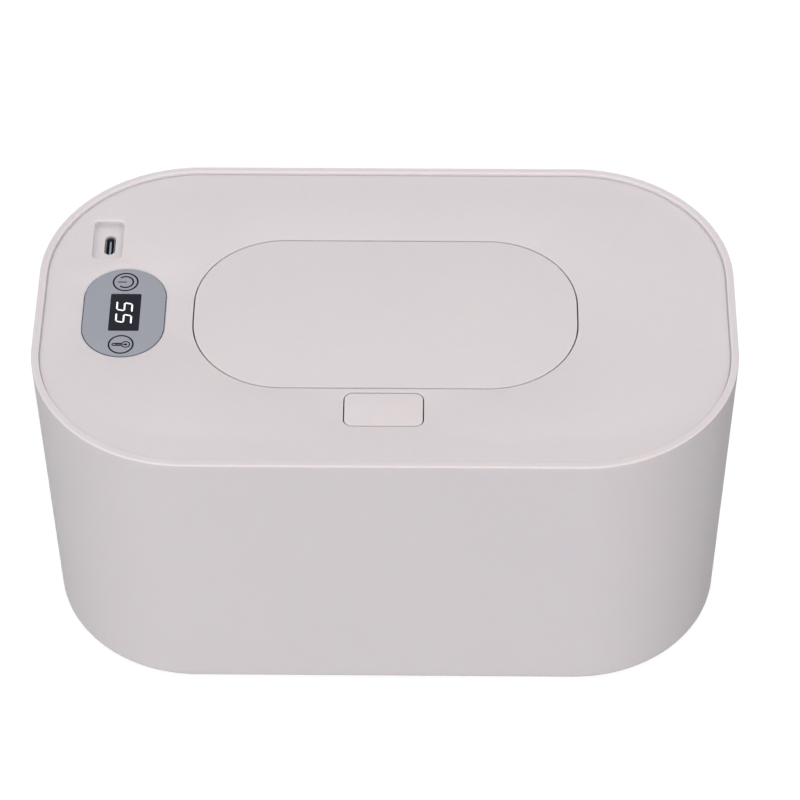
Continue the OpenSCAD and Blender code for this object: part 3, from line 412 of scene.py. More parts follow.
def make_box():
    """Outer skin, rim, inner wall with its shelf, and floor, as one skin; then the ribs and the spring cups."""
    form = Form()
    foot_r, foot_h, base_r, rim_r, inner_r = 7.2, 2.2, 2.0, 0.42, 0.25
    quarter = [math.pi / 2 * k / 6 for k in range(7)]
    skin = [(base_r * (1 - math.sin(a)), BOX_Z + base_r * (1 - math.cos(a))) for a in quarter]
    skin += [(0, 4.0), (0, 40.0), (0, 80.0), (0, 113.2)]
    skin += [(rim_r * (1 - math.cos(a)), RIM_Z - rim_r * (1 - math.sin(a))) for a in quarter]
    lip = WALL + 0.2
    skin += [(lip - inner_r * (1 - math.sin(a)), RIM_Z - inner_r * (1 - math.cos(a))) for a in quarter]
    skin += [(lip, 113.1), (lip + 0.27, 113.0), (lip + 0.27, 111.4), (WALL, 111.0), (WALL, SEAT_Z)]
    rings = [box_ring(form, inset, z) for inset, z in skin]
    shelf_in, shelf_z, edge = WALL + 0.55 + SEAT_IN, SEAT_Z - 1.8, 0.3
    for inset, z in ((shelf_in - edge, SEAT_Z), (shelf_in, SEAT_Z - edge), (shelf_in, shelf_z)):
        rings.append(box_ring(form, inset, z, plumb=True))
    low = [(WALL, shelf_z), (WALL, 60.0), (WALL, 6.0)]
    low += [(WALL + base_r * (1 - math.cos(a)), FLOOR_Z + base_r * (1 - math.sin(a))) for a in quarter]
    rings += [box_ring(form, inset, z) for inset, z in low]
    for a, b in zip(rings, rings[1:]):
        form.strip(a, b)
    form.cap(rings[-1])
    pockets = []
    for sx in (-1, 1):
        for sy in (-1, 1):
            hole = circle(foot_r, (sx * 82, sy * 42))
            first, last = form.wall(hole, [(0, BOX_Z), (0, foot_h)], -1)
            pockets.append(first)
            form.cap(last)
    form.cap(rings[0], *pockets)
    seat = outline(LID_W, LID_D, LID_R, SEAT_IN, n=40)
    ribs = [(x, sy, 90 * sy) for x in (-62, 0, 62) for sy in (-1, 1)]
    for x, sy, turn in ribs:
        add_rib(form, LID_D / 2 - SEAT_IN, x, turn)
    for turn in (-28, 0, 28, 152, 180, 208):
        add_rib(form, ray(seat, math.radians(turn)), 0, turn)
    for sx in (-1, 1):
        cup = [(21.4, FLOOR_Z - 0.4), (23.0, FLOOR_Z - 0.4), (23.0, 7.2), (22.7, 7.5), (21.7, 7.5), (21.4, 7.2)]
        form.turned(cup, (sx * 60, 0), 72, closed=True)
    return piece("outer_box", form, SATIN_ABS, "box", "shell_plastic", "box_shell")


def add_rib(form, reach, x, turn):
    """One upright rib from the floor to the shelf: plumb inside, leaning with the wall outside."""
    start = len(form.points)
    half, soft = 0.8, 0.25
    rings = []
    for z in (5.0, 105.0, SEAT_Z - 0.4):
        out = reach + 3.95 - lean(z)
        loop = [(reach + soft, -half), (out, -half), (out, half), (reach + soft, half)]
        loop += [(reach, half - soft), (reach, soft - half)]
        rings.append(form.ring(loop, z))
    for a, b in zip(rings, rings[1:]):
        form.strip(a, b, True)
    form.cap(rings[0])
    form.cap(rings[-1])
    place = Matrix.Translation((x, 0, 0)) @ Matrix.Rotation(math.radians(turn), 4, "Z")
    form.moved(start, place)


def make_feet():
    form = Form()
    profile = [(0, 0.15), (5.4, 0.15), (5.7, 0.0), (6.4, 0.0), (6.8, 0.2), (7.0, 0.6), (7.0, 2.2), (0, 2.2)]
    for sx in (-1, 1):
        for sy in (-1, 1):
            form.turned(profile, (sx * 82, sy * 42), 56)
    return piece("foot_pads", form, SILICONE, "box", "silicone", "rubber_feet")


# ---------------------------------------------------------------- tray
def make_tray():
    form = Form()
    rim_in, inner_in = 3.15, 5.15
    outer = outline(LID_W, LID_D, LID_R, rim_in, n=32)
    inner = outline(LID_W, LID_D, LID_R, inner_in, n=32)
    slots = [outline(4, 30, 2, mid=(i * 15, s * 38), n=6) for i in range(-6, 7) for s in (-1, 1)]
    under, top = form.wall(outer, levels(TRAY_Z, TRAY_RIM_Z, 0.9, 0.6, 5))
    brim = form.wall(inner, [(0.6, TRAY_RIM_Z), (0.18, TRAY_RIM_Z - 0.18), (0, TRAY_RIM_Z - 0.6), (0, TRAY_TOP)], -1)
    form.cap(top, brim[0])
    ways = [form.wall(s, levels(TRAY_Z, TRAY_TOP, 0.25, 0.5, 3), -1) for s in slots]
    form.cap(brim[1], *[w[1] for w in ways])
    form.cap(under, *[w[0] for w in ways])
    for sx in (-1, 1):
        cup = [(21.4, 76.7), (21.7, 76.4), (22.7, 76.4), (23.0, 76.7), (23.0, 80.2), (21.4, 80.2)]
        form.turned(cup, (sx * 60, 0), 72, closed=True)
    return piece("wipe_tray", form, PLAIN_PP, "tray", "inner_plastic", "lift_tray")


# ---------------------------------------------------------------- lid
def well_loop(extra):
    """Outline of the flap's well, with the hinge bay behind it."""
    w, d, r = HOLE
    loop = outline(w, d + 2, r, -extra, (FLAP_MID[0], FLAP_MID[1] + 1), 32)
    back = max(p[1] for p in loop)
    turn = next(i for i, p in enumerate(loop) if p[0] < 0)
    x = BAY_X + extra
    bay = [(x, back), (x, BAY_BACK + extra), (-x, BAY_BACK + extra), (-x, back)]
    return loop[:turn] + bay + loop[turn:]


def split_at_front(loop, half):
    """The loop opened at the middle of its front edge, from the right side of the gap round to the left."""
    front = min(p[1] for p in loop)
    turn = next(i for i, p in enumerate(loop) if p[1] < front + 1e-6 and p[0] > 0)
    return [(half, front)] + loop[turn:] + loop[:turn] + [(-half, front)]


def make_lid():
    """Plate, flange and skirt as one skin with its openings; then the well, bosses, posts, ears and lugs."""
    form = Form()
    edge, outer_edge = 0.28, 0.14
    lid = outline(LID_W, LID_D, LID_R, n=40)
    quarter = [math.pi / 2 * k / 8 for k in range(9)]
    side = [(outer_edge * (1 - math.sin(a)), LID_Z - outer_edge * (1 - math.cos(a))) for a in quarter[::2]]
    side += [(0, LID_Z - 0.6), (0, FLANGE_Z + 0.3), (0.3, FLANGE_Z), (SKIRT_IN, FLANGE_Z)]
    side += [(SKIRT_IN, BASE_TOP), (SKIRT_OUT, BASE_TOP), (SKIRT_OUT, PLATE_Z)]
    top, under = form.wall(lid, side)
    flap_hole = outline(*HOLE, mid=FLAP_MID, n=32)
    flap_way = form.wall(flap_hole, levels(PLATE_Z, LID_Z, 0.1, edge), -1)
    bw, bd, br = BUTTON[0] + 0.74, BUTTON[1] + 0.76, BUTTON[2] + 0.4
    land = form.wall(
        outline(bw, bd, br, mid=(0, BUTTON_Y), n=10), levels(LID_Z - 0.9, LID_Z, 0, edge), -1
    )
    relief = form.wall(
        outline(bw, bd + 0.6, br, mid=(0, BUTTON_Y - 0.3), n=10), [(0, PLATE_Z), (0, LID_Z - 0.9)], -1
    )
    form.strip(land[0], relief[1])
    recess = form.wall(
        outline(*PANEL, -0.25, (PANEL_X, 0), 24), levels(PANEL_Z, LID_Z, 0, 0.08, 2, 0.1), -1
    )
    ways = [outline(*WINDOW, -0.5, WINDOW_MID, 3)]
    ways += [circle(3.6, (PANEL_X, s * 15)) for s in (-1, 1)]
    ways = [form.wall(w, [(0, PLATE_Z), (0, PANEL_Z)], -1) for w in ways]
    form.cap(recess[0], *[w[1] for w in ways])
    fillet = [(-1.5 * (1 - math.sin(a)), POCKET_Z + 1.5 * (1 - math.cos(a))) for a in quarter[:-1]]
    pocket = form.wall(
        outline(*POCKET, mid=POCKET_MID, n=8), fillet + levels(POCKET_Z + 1.5, LID_Z, 0, 0.35, 5, 0.1), -1
    )
    slot = form.wall(
        outline(3.66, 9.34, 1.83, mid=(PORT_X, PORT_Y), n=10), levels(POCKET_Z - 1.2, POCKET_Z, 0, 0.45, 5, 0.1), -1
    )
    form.cap(pocket[0], slot[1])
    sump = form.wall(outline(*POCKET, -1.2, POCKET_MID, 8), [(0, POCKET_Z - 1.2), (0, PLATE_Z)])
    form.cap(sump[0], slot[0])
    bay_front = FLAP_MID[1] + HOLE[1] / 2 + 1
    bay = form.wall(
        [(-BAY_X, bay_front), (BAY_X, bay_front), (BAY_X, BAY_BACK), (-BAY_X, BAY_BACK)],
        [(0, PLATE_Z), (0, LIP_UNDER)],
        -1,
    )
    form.cap(bay[1])
    form.cap(top, flap_way[1], land[1], recess[1], pocket[1])
    form.cap(under, flap_way[0], relief[0], *[w[0] for w in ways], sump[1], bay[0])
    add_well(form)
    for spot in BOSSES:
        form.turned(
            [(0, 103), (1.1, 103), (1.1, 95.2), (1.3, BASE_TOP), (3.4, BASE_TOP), (3.6, 95.2), (3.6, 110.8), (0, 110.8)],
            spot,
        )
    for spot in BOARD_POSTS:
        form.turned(
            [(0, 104.4), (0.9, 104.4), (0.9, BOARD_TOP), (2.4, BOARD_TOP), (2.6, 99.6), (2.6, 110.8), (0, 110.8)],
            spot,
        )
    add_ears(form)
    add_lugs(form)
    return piece("lid_top", form, SATIN_ABS, "lid", "shell_plastic", "lid_panel")


def add_well(form):
    """Wall round the flap's well: a full ring below, and one that is open for the button's nose above."""
    wall, slot_half, slot_z = 1.8, 9.25, 107.2
    form.prism(well_loop(wall), [well_loop(0)], BASE_TOP, slot_z, 0.2, 0, 3)
    outer, inner = (split_at_front(well_loop(e), slot_half) for e in (wall, 0))
    form.prism(outer + inner[::-1], [], slot_z, PLATE_Z + 0.1, 0, 0)


def add_ears(form):
    ear_r, ear_t, gap = 2.2, 2.2, 0.3
    past = ARM_W / 2 + gap + ear_t / 2
    outer = arc(ear_r, -180, 0, 20) + [(ear_r, 2.15), (-ear_r, 2.15)]
    for s in (-1, 1):
        for x in (s * (ARM_SPAN / 2 + past), s * (ARM_SPAN / 2 - past) - (6.5 if s > 0 else 0)):
            form.across(outer, [circle(PIN_R + 0.02, n=24)], x - ear_t / 2, x + ear_t / 2, AXIS_Y, AXIS_Z)


def add_lugs(form):
    boss, to_wall = 1.7, 2.4
    for s in (-1, 1):
        x0, x1 = sorted((s * 11.875, s * 14.275))
        outer = arc(boss, 180, 270, 10) + [(to_wall, -boss), (to_wall, 4.0), (-boss, 4.0)]
        form.across(outer, [circle(ROCKER_PIN_R + 0.02, n=24)], x0, x1, ROCKER_Y, ROCKER_Z)
        x0, x1 = sorted((s * 13.72, s * 14.275))
        form.across([(-boss, 3.6), (boss, 3.6), (boss, 5.1), (-boss, 5.1)], [], x0, x1, ROCKER_Y, ROCKER_Z, 0.05)


def make_lid_floor():
    """Base plate with the dispensing collar, screw seats, wire hole, heater rim, guide and spring post."""
    form = Form()
    plate = outline(LID_W, LID_D, LID_R, SKIRT_IN, n=40)
    under, top = form.wall(plate, levels(BASE_Z, BASE_TOP, 0.4, 0, 4))
    collar = outline(*MOUTH, inset=-2, mid=FLAP_MID, n=24)
    mouth = outline(*MOUTH, mid=FLAP_MID, n=24)
    collar_up = form.wall(collar, levels(BASE_TOP, COLLAR_TOP, 0, 0.6, 5))
    throat = form.wall(mouth, levels(LID_UNDER, COLLAR_TOP, 0.5, 0.6, 5), -1)
    collar_down = form.wall(collar, levels(LID_UNDER, BASE_Z, 0.5, 0, 4))
    form.cap(collar_up[1], throat[1])
    form.cap(collar_down[0], throat[0])
    ups, downs = [collar_up[0]], [collar_down[1]]
    for spot in BOSSES:
        seat = form.wall(circle(3.1, spot), [(0.2, BASE_Z), (0, BASE_Z + 0.2), (0, BASE_Z + 1)], -1)
        bore = form.wall(circle(1.65, spot, 32), [(0, BASE_Z + 1), (0, BASE_TOP)], -1)
        form.cap(seat[1], bore[0])
        downs.append(seat[0])
        ups.append(bore[1])
    for spot in HEATER_SCREWS:
        bore = form.wall(circle(1.35, spot, 24), [(0, BASE_Z), (0, BASE_Z + 1.1)], -1)
        form.cap(bore[1])
        downs.append(bore[0])
    wire = form.wall(circle(3.5, (-78, -8)), levels(BASE_Z, BASE_TOP, 0.3, 0.3, 3), -1)
    form.cap(top, *ups, wire[1])
    form.cap(under, *downs, wire[0])
    rim, shell = (outline(170, 90, 32, -e, n=24) for e in (2.3, 0.5))
    form.prism(rim, [shell], LID_UNDER, BASE_Z + 0.1, 0.4, 0)
    guide, behind = (outline(LID_W, LID_D, LID_R, e, n=32) for e in (4.95, 6.45))
    form.prism(guide, [behind], BASE_TOP - 0.1, BASE_TOP + 2.5, 0, 0.3)
    form.turned(
        [(0, 94.9), (3.6, 94.9), (3.6, 100.9), (3.3, 101.2), (1.4, 101.2), (1.4, 102.9), (1.1, 103.2), (0, 103.2)],
        (0, COIL_Y),
    )
    return piece("lid_floor", form, PLAIN_PP, "lid", "inner_plastic", "lid_base")


def make_lid_seal():
    form = Form()
    outer, inner = (outline(LID_W, LID_D, LID_R, e, n=40) for e in (0.15, SKIRT_IN - 0.15))
    form.prism(outer, [inner], SEAT_Z, FLANGE_Z, 0.25, 0.25)
    return piece("lid_gasket", form, SILICONE, "lid", "silicone", "lid_seal")


# ---------------------------------------------------------------- flap, hinge and button
def make_flap():
    """Flush oval flap: crowned edge on top, tapered below, with seal ribs, goosenecks and catch underneath."""
    form = Form()
    flap = outline(*FLAP, -0.08, FLAP_MID, 40)
    steps = [(1.0, 110.7), (0.0, 112.4), (0.0, 112.6)]
    steps += [(0.35 * (1 - math.cos(a)), LID_Z - 0.35 * (1 - math.sin(a))) for a in [math.pi / 12 * k for k in range(7)]]
    under, top = form.wall(flap, steps)
    form.cap(top)
    form.cap(under)
    for near in (-4.6, 1.6):
        a, b = (outline(*MOUTH, inset=near + e, mid=FLAP_MID, n=24) for e in (0, 1))
        form.prism(a, [b], 109.5, 111.0, 0.25, 0)
    for s in (-1, 1):
        add_arm(form, s * ARM_SPAN / 2)
    front = FLAP_MID[1] - HOLE[1] / 2
    form.block((-8, front + 0.85, 105.2), (8, front + 2.45, 111.0), 0.2)
    form.block((-8, front + 0.70, 105.2), (8, front + 1.35, 106.7), 0.12)
    for x in (-6, 0, 6):
        web = [(front + 2.3, 105.9), (front + 2.3, 111.0), (front + 5.0, 111.0)]
        form.across([(p[0], p[1]) for p in web][::-1], [], x - 0.5, x + 0.5, 0, 0, 0.1)
    return piece("flap_cover", form, SATIN_ABS, "flap", "shell_plastic", "flap")


def add_arm(form, x):
    """Gooseneck: hub on the pin, spoke, and the C that passes under the lid's lip up to the flap."""
    spoke = math.radians(-75)
    x0, x1 = x - ARM_W / 2, x + ARM_W / 2
    form.across(circle(HUB_R, n=40), [circle(PIN_R + 0.05, n=32)], x0, x1, AXIS_Y, AXIS_Z, 0.25)
    bow = arc(ARM_OUT, 173.5, 281, 30) + arc(ARM_IN, 281, 173.5, 30)
    form.across(bow, [], x0, x1, AXIS_Y, AXIS_Z, 0.4)
    along, side = Vector((math.cos(spoke), math.sin(spoke))), Vector((-math.sin(spoke), math.cos(spoke)))
    corners = ((1.3, -1.1), (8.6, -1.1), (8.6, 1.1), (1.3, 1.1))
    form.across([tuple(along * a + side * b) for a, b in corners], [], x0 + 0.05, x1 - 0.05, AXIS_Y, AXIS_Z, 0.3)
    foot = [(-ARM_OUT, -0.5), (-ARM_IN, -0.5), (-ARM_IN, 1.6), (-ARM_OUT, 1.6)]
    form.across(foot, [], x0, x1, AXIS_Y, AXIS_Z, 0.1)


def make_flap_seal():
    form = Form()
    outer, inner = (outline(*MOUTH, inset=e, mid=FLAP_MID, n=24) for e in (-3.4, 1.4))
    form.prism(outer, [inner], COLLAR_TOP, 110.7, 0.9, 0.2, 5)
    return piece("flap_gasket", form, SILICONE, "flap", "silicone", "flap_seal")


def make_pins():
    form = Form()
    rod = [(0, 0), (PIN_R - 0.2, 0), (PIN_R, 0.2), (PIN_R, PIN_L - 0.2), (PIN_R - 0.2, PIN_L), (0, PIN_L)]
    form.turned(rod, n=32)
    form.moved(0, Matrix.Translation((-PIN_L / 2, AXIS_Y, AXIS_Z)) @ Matrix.Rotation(math.pi / 2, 4, "Y"))
    piece("hinge_rod", form, ZINC, "lid", "screw_steel", "hinge_pin")
    form = Form()
    for s in (-1, 1):
        start, r, long = len(form.points), ROCKER_PIN_R, 4.3
        form.turned([(0, 0), (r - 0.15, 0), (r, 0.15), (r, long - 0.15), (r - 0.15, long), (0, long)], n=28)
        turn = Matrix.Rotation(s * math.pi / 2, 4, "Y")
        form.moved(start, Matrix.Translation((s * 9.775, ROCKER_Y, ROCKER_Z)) @ turn)
    piece("rocker_pins", form, ZINC, "lid", "screw_steel", "button_pins")


def make_button():
    """Latch button: crowned top, two cheeks on the pins, the nose, and a peg in the spring."""
    form = Form()
    top_loop = outline(*BUTTON, mid=(0, BUTTON_Y), n=12)
    steps = [(0.4, 111.0), (0.0, 112.2), (0.0, 112.4)]
    steps += [(0.5 * (1 - math.cos(a)), LID_Z - 0.5 * (1 - math.sin(a))) for a in [math.pi / 12 * k for k in range(7)]]
    under, top = form.wall(top_loop, steps)
    form.cap(top)
    form.cap(under)
    boss = 1.7
    cheek = arc(boss, 180, 360, 20) + [(boss, 5.6), (-boss, 5.6)]
    for s in (-1, 1):
        x0, x1 = sorted((s * 9.575, s * 11.575))
        form.across(cheek, [circle(ROCKER_PIN_R + 0.05, n=24)], x0, x1, ROCKER_Y, ROCKER_Z)
    form.block((-8.75, -39.55, 108.2), (8.75, -37.95, 111.3), 0.15)
    form.block((-8.75, -39.55, 108.2), (8.75, -34.75, 110.0), 0.2)
    form.turned([(0, 109.5), (1.2, 109.5), (1.4, 109.7), (1.4, 111.2), (0, 111.2)], (0, COIL_Y), 32)
    return piece("latch_rocker", form, BUTTON_ABS_PAINTED_LIGHT, "button", "shell_plastic", "latch_button")


# ---------------------------------------------------------------- touch panel, window, digits and symbols
def ribbon(form, path, width, z0, z1, closed=False):
    """Flat line of one width along a path, as thin as print."""
    p = np.array(path, float)
    if closed:
        form.prism(shrink(path, -width / 2), [shrink(path, width / 2)], z0, z1, 0, 0)
        return
    t = np.gradient(p, axis=0)
    t /= np.linalg.norm(t, axis=1)[:, None]
    n = np.stack([-t[:, 1], t[:, 0]], 1) * width / 2
    form.prism([tuple(q) for q in p - n] + [tuple(q) for q in (p + n)[::-1]], [], z0, z1, 0, 0)


def make_panel():
    form = Form()
    panel = outline(*PANEL, 0.1, (PANEL_X, 0.1), 32)
    window = outline(*WINDOW, -0.1, WINDOW_MID, 4)
    form.prism(panel, [window], PANEL_Z, PANEL_TOP, 0.1, 0.15, 4)
    piece("touch_panel", form, PANEL_PC, "lid", "panel_plastic", "control_panel")
    form = Form()
    form.prism(outline(*WINDOW, mid=WINDOW_MID, n=4), [], PANEL_Z, PANEL_TOP - 0.02, 0.1, 0.08, 3)
    piece("smoked_window", form, SMOKED, "lid", "window_plastic", "display_window")


def make_digits():
    """Two seven-segment fives; read from the right-hand side, so their up is towards -X."""
    form = Form()
    long_x, long_y, wide, gap, slant = 5.75, 4.35, 0.56, 0.1, 0.235
    z0, z1 = PANEL_TOP - 0.03, PANEL_TOP - 0.005
    for middle in (-2.91, 2.74):
        up, right = long_x / 2 - wide / 2, long_y / 2 - wide / 2

        def bar(u0, v0, u1, v1):
            """Segment between two places, given as up and right, with mitred ends."""
            a, b = Vector((u0, v0)), Vector((u1, v1))
            t = (b - a).normalized()
            n = Vector((-t.y, t.x)) * wide / 2
            a, b = a + t * gap, b - t * gap
            tip = t * wide / 2
            loop = [a, a + tip - n, b - tip - n, b, b - tip + n, a + tip + n]
            form.prism([(PANEL_X - q.x, middle + q.y + slant * q.x) for q in loop], [], z0, z1, 0, 0)

        bar(up, -right, up, right)
        bar(up, -right, 0, -right)
        bar(0, -right, 0, right)
        bar(0, right, -up, right)
        bar(-up, right, -up, -right)
    return piece("lit_digits", form, LIT, "lid", "window_plastic")


def make_symbols():
    """Power symbol behind the window and thermometer in front of it, each in its ring."""
    form = Form()
    z0, z1 = PANEL_TOP - 0.02, PANEL_TOP + 0.02
    line = 0.58
    px, py = -90.08, 14.75
    ribbon(form, circle(4.2, (px, py), 64), line, z0, z1, True)
    ribbon(form, arc(2.65, 228, 492, 40, (px, py)), line, z0, z1)
    ribbon(form, [(px - 2.7, py), (px - 1.2, py), (px + 0.4, py)], 0.42, z0, z1)
    tx, ty = -89.88, -15.33
    ribbon(form, circle(4.15, (tx, ty), 64), line, z0, z1, True)
    bulb_x, bulb_r, neck, tip_x = -88.2, 1.33, 0.5, -92.35
    open_at = math.degrees(math.asin(neck / bulb_r))
    bulb = arc(bulb_r, 180 - open_at, open_at - 180, 32, (bulb_x, ty))
    tip = arc(neck, 270, 90, 12, (tip_x, ty))
    ribbon(form, tip[-1:] + [((tip_x + bulb_x - bulb_r) / 2, ty + neck)] + bulb, 0.42, z0, z1)
    ribbon(form, bulb[-1:] + [((tip_x + bulb_x - bulb_r) / 2, ty - neck)] + tip, 0.42, z0, z1)
    form.prism(circle(0.5, (bulb_x, ty), 24), [], z0, z1, 0, 0)
    ribbon(form, [(bulb_x - 1.5, ty), (bulb_x - 0.8, ty), (bulb_x, ty)], 0.36, z0, z1)
    for k in range(5):
        x = tip_x + 0.55 + 0.45 * k
        ribbon(form, [(x, ty - neck), (x, ty), (x, ty + neck)], 0.32, z0, z1)
    return piece("touch_symbols", form, INK, "lid", "panel_plastic")


def make_socket():
    """Receptacle: rolled steel shell, and the black tongue with its contacts."""
    form = Form()
    outer = outline(3.26, 8.94, 1.63, mid=(PORT_X, PORT_Y), n=12)
    inner = outline(3.26, 8.94, 1.63, 0.3, (PORT_X, PORT_Y), 12)
    low, top = form.wall(outer, levels(BOARD_TOP, 109.9, 0.1, 0.12, 3))
    floor, mouth = form.wall(inner, levels(102.9, 109.9, 0, 0.12, 3), -1)
    form.cap(low)
    form.cap(top, mouth)
    form.cap(floor)
    piece("socket_shell", form, SHELL_STEEL_PAINTED_SHADE, "lid", "port_steel", "charging_port")
    form = Form()
    form.prism(outline(0.7, 6.7, 0.3, mid=(PORT_X, PORT_Y), n=3), [], 102.4, 108.9, 0, 0.15, 3)
    piece("socket_tongue", form, TONGUE_PAINTED_LIGHT, "lid", "port_steel")
    form = Form()
    for k in range(6):
        y = PORT_Y - 2.5 + k
        for s in (-1, 1):
            x0, x1 = sorted((PORT_X + s * 0.25, PORT_X + s * 0.39))
            form.block((x0, y - 0.14, 103.4), (x1, y + 0.14, 107.6), 0.02)
    piece("socket_contacts", form, TIN, "lid", "port_steel")


# ---------------------------------------------------------------- what repeats or follows a path: Geometry Nodes
def new_tree(name, inputs):
    """Empty geometry tree with a geometry socket each way and the named inputs."""
    tree = bpy.data.node_groups.new(name, "GeometryNodeTree")
    tree.interface.new_socket("Geometry", in_out="INPUT", socket_type="NodeSocketGeometry")
    tree.interface.new_socket("Geometry", in_out="OUTPUT", socket_type="NodeSocketGeometry")
    for key, kind in inputs:
        tree.interface.new_socket(key, in_out="INPUT", socket_type="NodeSocket" + kind)
    return tree, node(tree, "NodeGroupInput").outputs


def close_tree(tree, shape, given):
    real = node(tree, "GeometryNodeRealizeInstances", None, {"Geometry": shape})
    done = node(tree, "GeometryNodeSetMaterial", None, {"Geometry": real.outputs[0], "Material": given["Material"]})
    node(tree, "NodeGroupOutput", None, {0: done.outputs[0]})
    return tree


def wire_tree():
    """A round wire of one radius along the edges of a path, with flat ends."""
    tree, given = new_tree("wire", [("Wire Radius", "Float"), ("Sides", "Int"), ("Material", "Material")])
    curve = node(tree, "GeometryNodeMeshToCurve", None, {"Mesh": given["Geometry"]})
    ring = node(
        tree, "GeometryNodeCurvePrimitiveCircle", None, {"Resolution": given["Sides"], "Radius": given["Wire Radius"]}
    )
    tube = node(
        tree,
        "GeometryNodeCurveToMesh",
        {"Fill Caps": True},
        {"Curve": curve.outputs[0], "Profile Curve": ring.outputs[0]},
    )
    return close_tree(tree, tube.outputs[0], given)


def screw_tree():
    """One screw on each point, each driven home at its own angle."""
    tree, given = new_tree(
        "screws", [("Screw", "Object"), ("Turn", "Float"), ("Seed", "Int"), ("Material", "Material")]
    )
    source = node(tree, "GeometryNodeObjectInfo", None, {"Object": given["Screw"]})
    turn = node(
        tree, "FunctionNodeRandomValue", None, {"Max": given["Turn"], "Seed": given["Seed"]}, data_type="FLOAT"
    )
    spin = node(tree, "ShaderNodeCombineXYZ", None, {"Z": turn.outputs[1]})
    copies = node(
        tree,
        "GeometryNodeInstanceOnPoints",
        None,
        {"Points": given["Geometry"], "Instance": source.outputs["Geometry"], "Rotation": spin.outputs[0]},
    )
    return close_tree(tree, copies.outputs[0], given)


WIRE = wire_tree()
SCREWS = screw_tree()


def grown(name, tree, points, edges, inputs, body, slot, *nodes):
    """Plain mesh grown by a tree on points in millimetres, riding on a body."""
    host_mesh = bpy.data.meshes.new(name + "_host")
    host_mesh.from_pydata([[c * MM for c in p] for p in points], edges, [])
    host = bpy.data.objects.new(name + "_host", host_mesh)
    bpy.context.scene.collection.objects.link(host)
    modifier = host.modifiers.new("grow", "NODES")
    modifier.node_group = tree
    for item in tree.interface.items_tree:
        if item.in_out == "INPUT" and item.name in inputs:
            modifier[item.identifier] = inputs[item.name]
    graph = bpy.context.evaluated_depsgraph_get()
    mesh = bpy.data.meshes.new_from_object(host.evaluated_get(graph), depsgraph=graph)
    host.modifiers.remove(modifier)
    bpy.data.objects.remove(host)
    bm = bmesh.new()
    bm.from_mesh(mesh)
    bmesh.ops.remove_doubles(bm, verts=bm.verts, dist=1e-6)
    bmesh.ops.recalc_face_normals(bm, faces=bm.faces)
    for face in bm.faces:
        face.smooth = True
    bm.to_mesh(mesh)
    bm.free()
    mesh.set_sharp_from_angle(angle=math.radians(50))
    obj = bpy.data.objects.new(name, mesh)
    bpy.context.scene.collection.objects.link(obj)
    return mount(obj, body, slot, *nodes)


def wires(name, paths, radius, material, body, slot, *nodes, sides=12):
    points, edges = [], []
    for path in paths:
        start = len(points)
        points += path
        edges += [(start + i, start + i + 1) for i in range(len(path) - 1)]
    inputs = {"Wire Radius": radius * MM, "Sides": sides, "Material": material}
    return grown(name, WIRE, points, edges, inputs, body, slot, *nodes)


def coil(spot, z0, z1, r, wire, turns, per_turn=32, ease=0.05):
    """Path of a compression spring that sits between two heights, its end turns closed up a little."""
    count = round(turns * per_turn)
    rise = z1 - z0 - 2 * wire
    path = []
    for i in range(count + 1):
        u, a = i / count, 2 * math.pi * i / per_turn
        z = z0 + wire + rise * (u - ease * math.sin(2 * math.pi * u))
        path.append((spot[0] + r * math.cos(a), spot[1] + r * math.sin(a), z))
    return path


def make_springs():
    for side, word in ((-1, "left"), (1, "right")):
        path = coil((side * 60, 0), FLOOR_Z, TRAY_Z, 20, 0.8, 7, 48)
        lift = wires(f"lift_coil_{word}", [path], 0.8, SPRING, "box", "spring_steel", f"lift_spring_{word}")
        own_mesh(lift)
    paths = [coil((PANEL_X, s * 15), BOARD_TOP, PANEL_Z, 2.4, 0.3, 5) for s in (-1, 1)]
    wires("touch_coils", paths, 0.3, SPRING, "lid", "spring_steel", "touch_springs", sides=10)
    path = coil((0, COIL_Y), POST_TOP, LID_Z - 2.2, 2.3, 0.3, 5)
    back = wires("button_coil", [path], 0.3, SPRING, "lid", "spring_steel", "button_spring", sides=10)
    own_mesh(back)


def make_flap_spring():
    """Torsion spring on the pin: one leg back under the lid, one down beside the arm."""
    r, wire, length, turns, leg, per_turn, x0 = 1.45, 0.3, 6.2, 5.25, 3.0, 32, 15.0
    count = round(turns * per_turn)

    def at(i):
        a = 2 * math.pi * i / per_turn
        return x0 + wire + (length - 2 * wire) * i / count, r * math.cos(a), r * math.sin(a)

    turned = [at(i) for i in range(count + 1)]
    end = 2 * math.pi * turns
    first = (turned[0][0], r, -leg)
    last = (turned[-1][0], r * math.cos(end) - leg * math.sin(end), r * math.sin(end) + leg * math.cos(end))
    # The CAD coil starts at +X turned to the top of the pin, and winds towards the front
    place = [(x, AXIS_Y - v, AXIS_Z + u) for x, u, v in [first] + turned + [last]]
    wires("flap_coil", [place], wire, SPRING, "lid", "spring_steel", "flap_spring", sides=10)


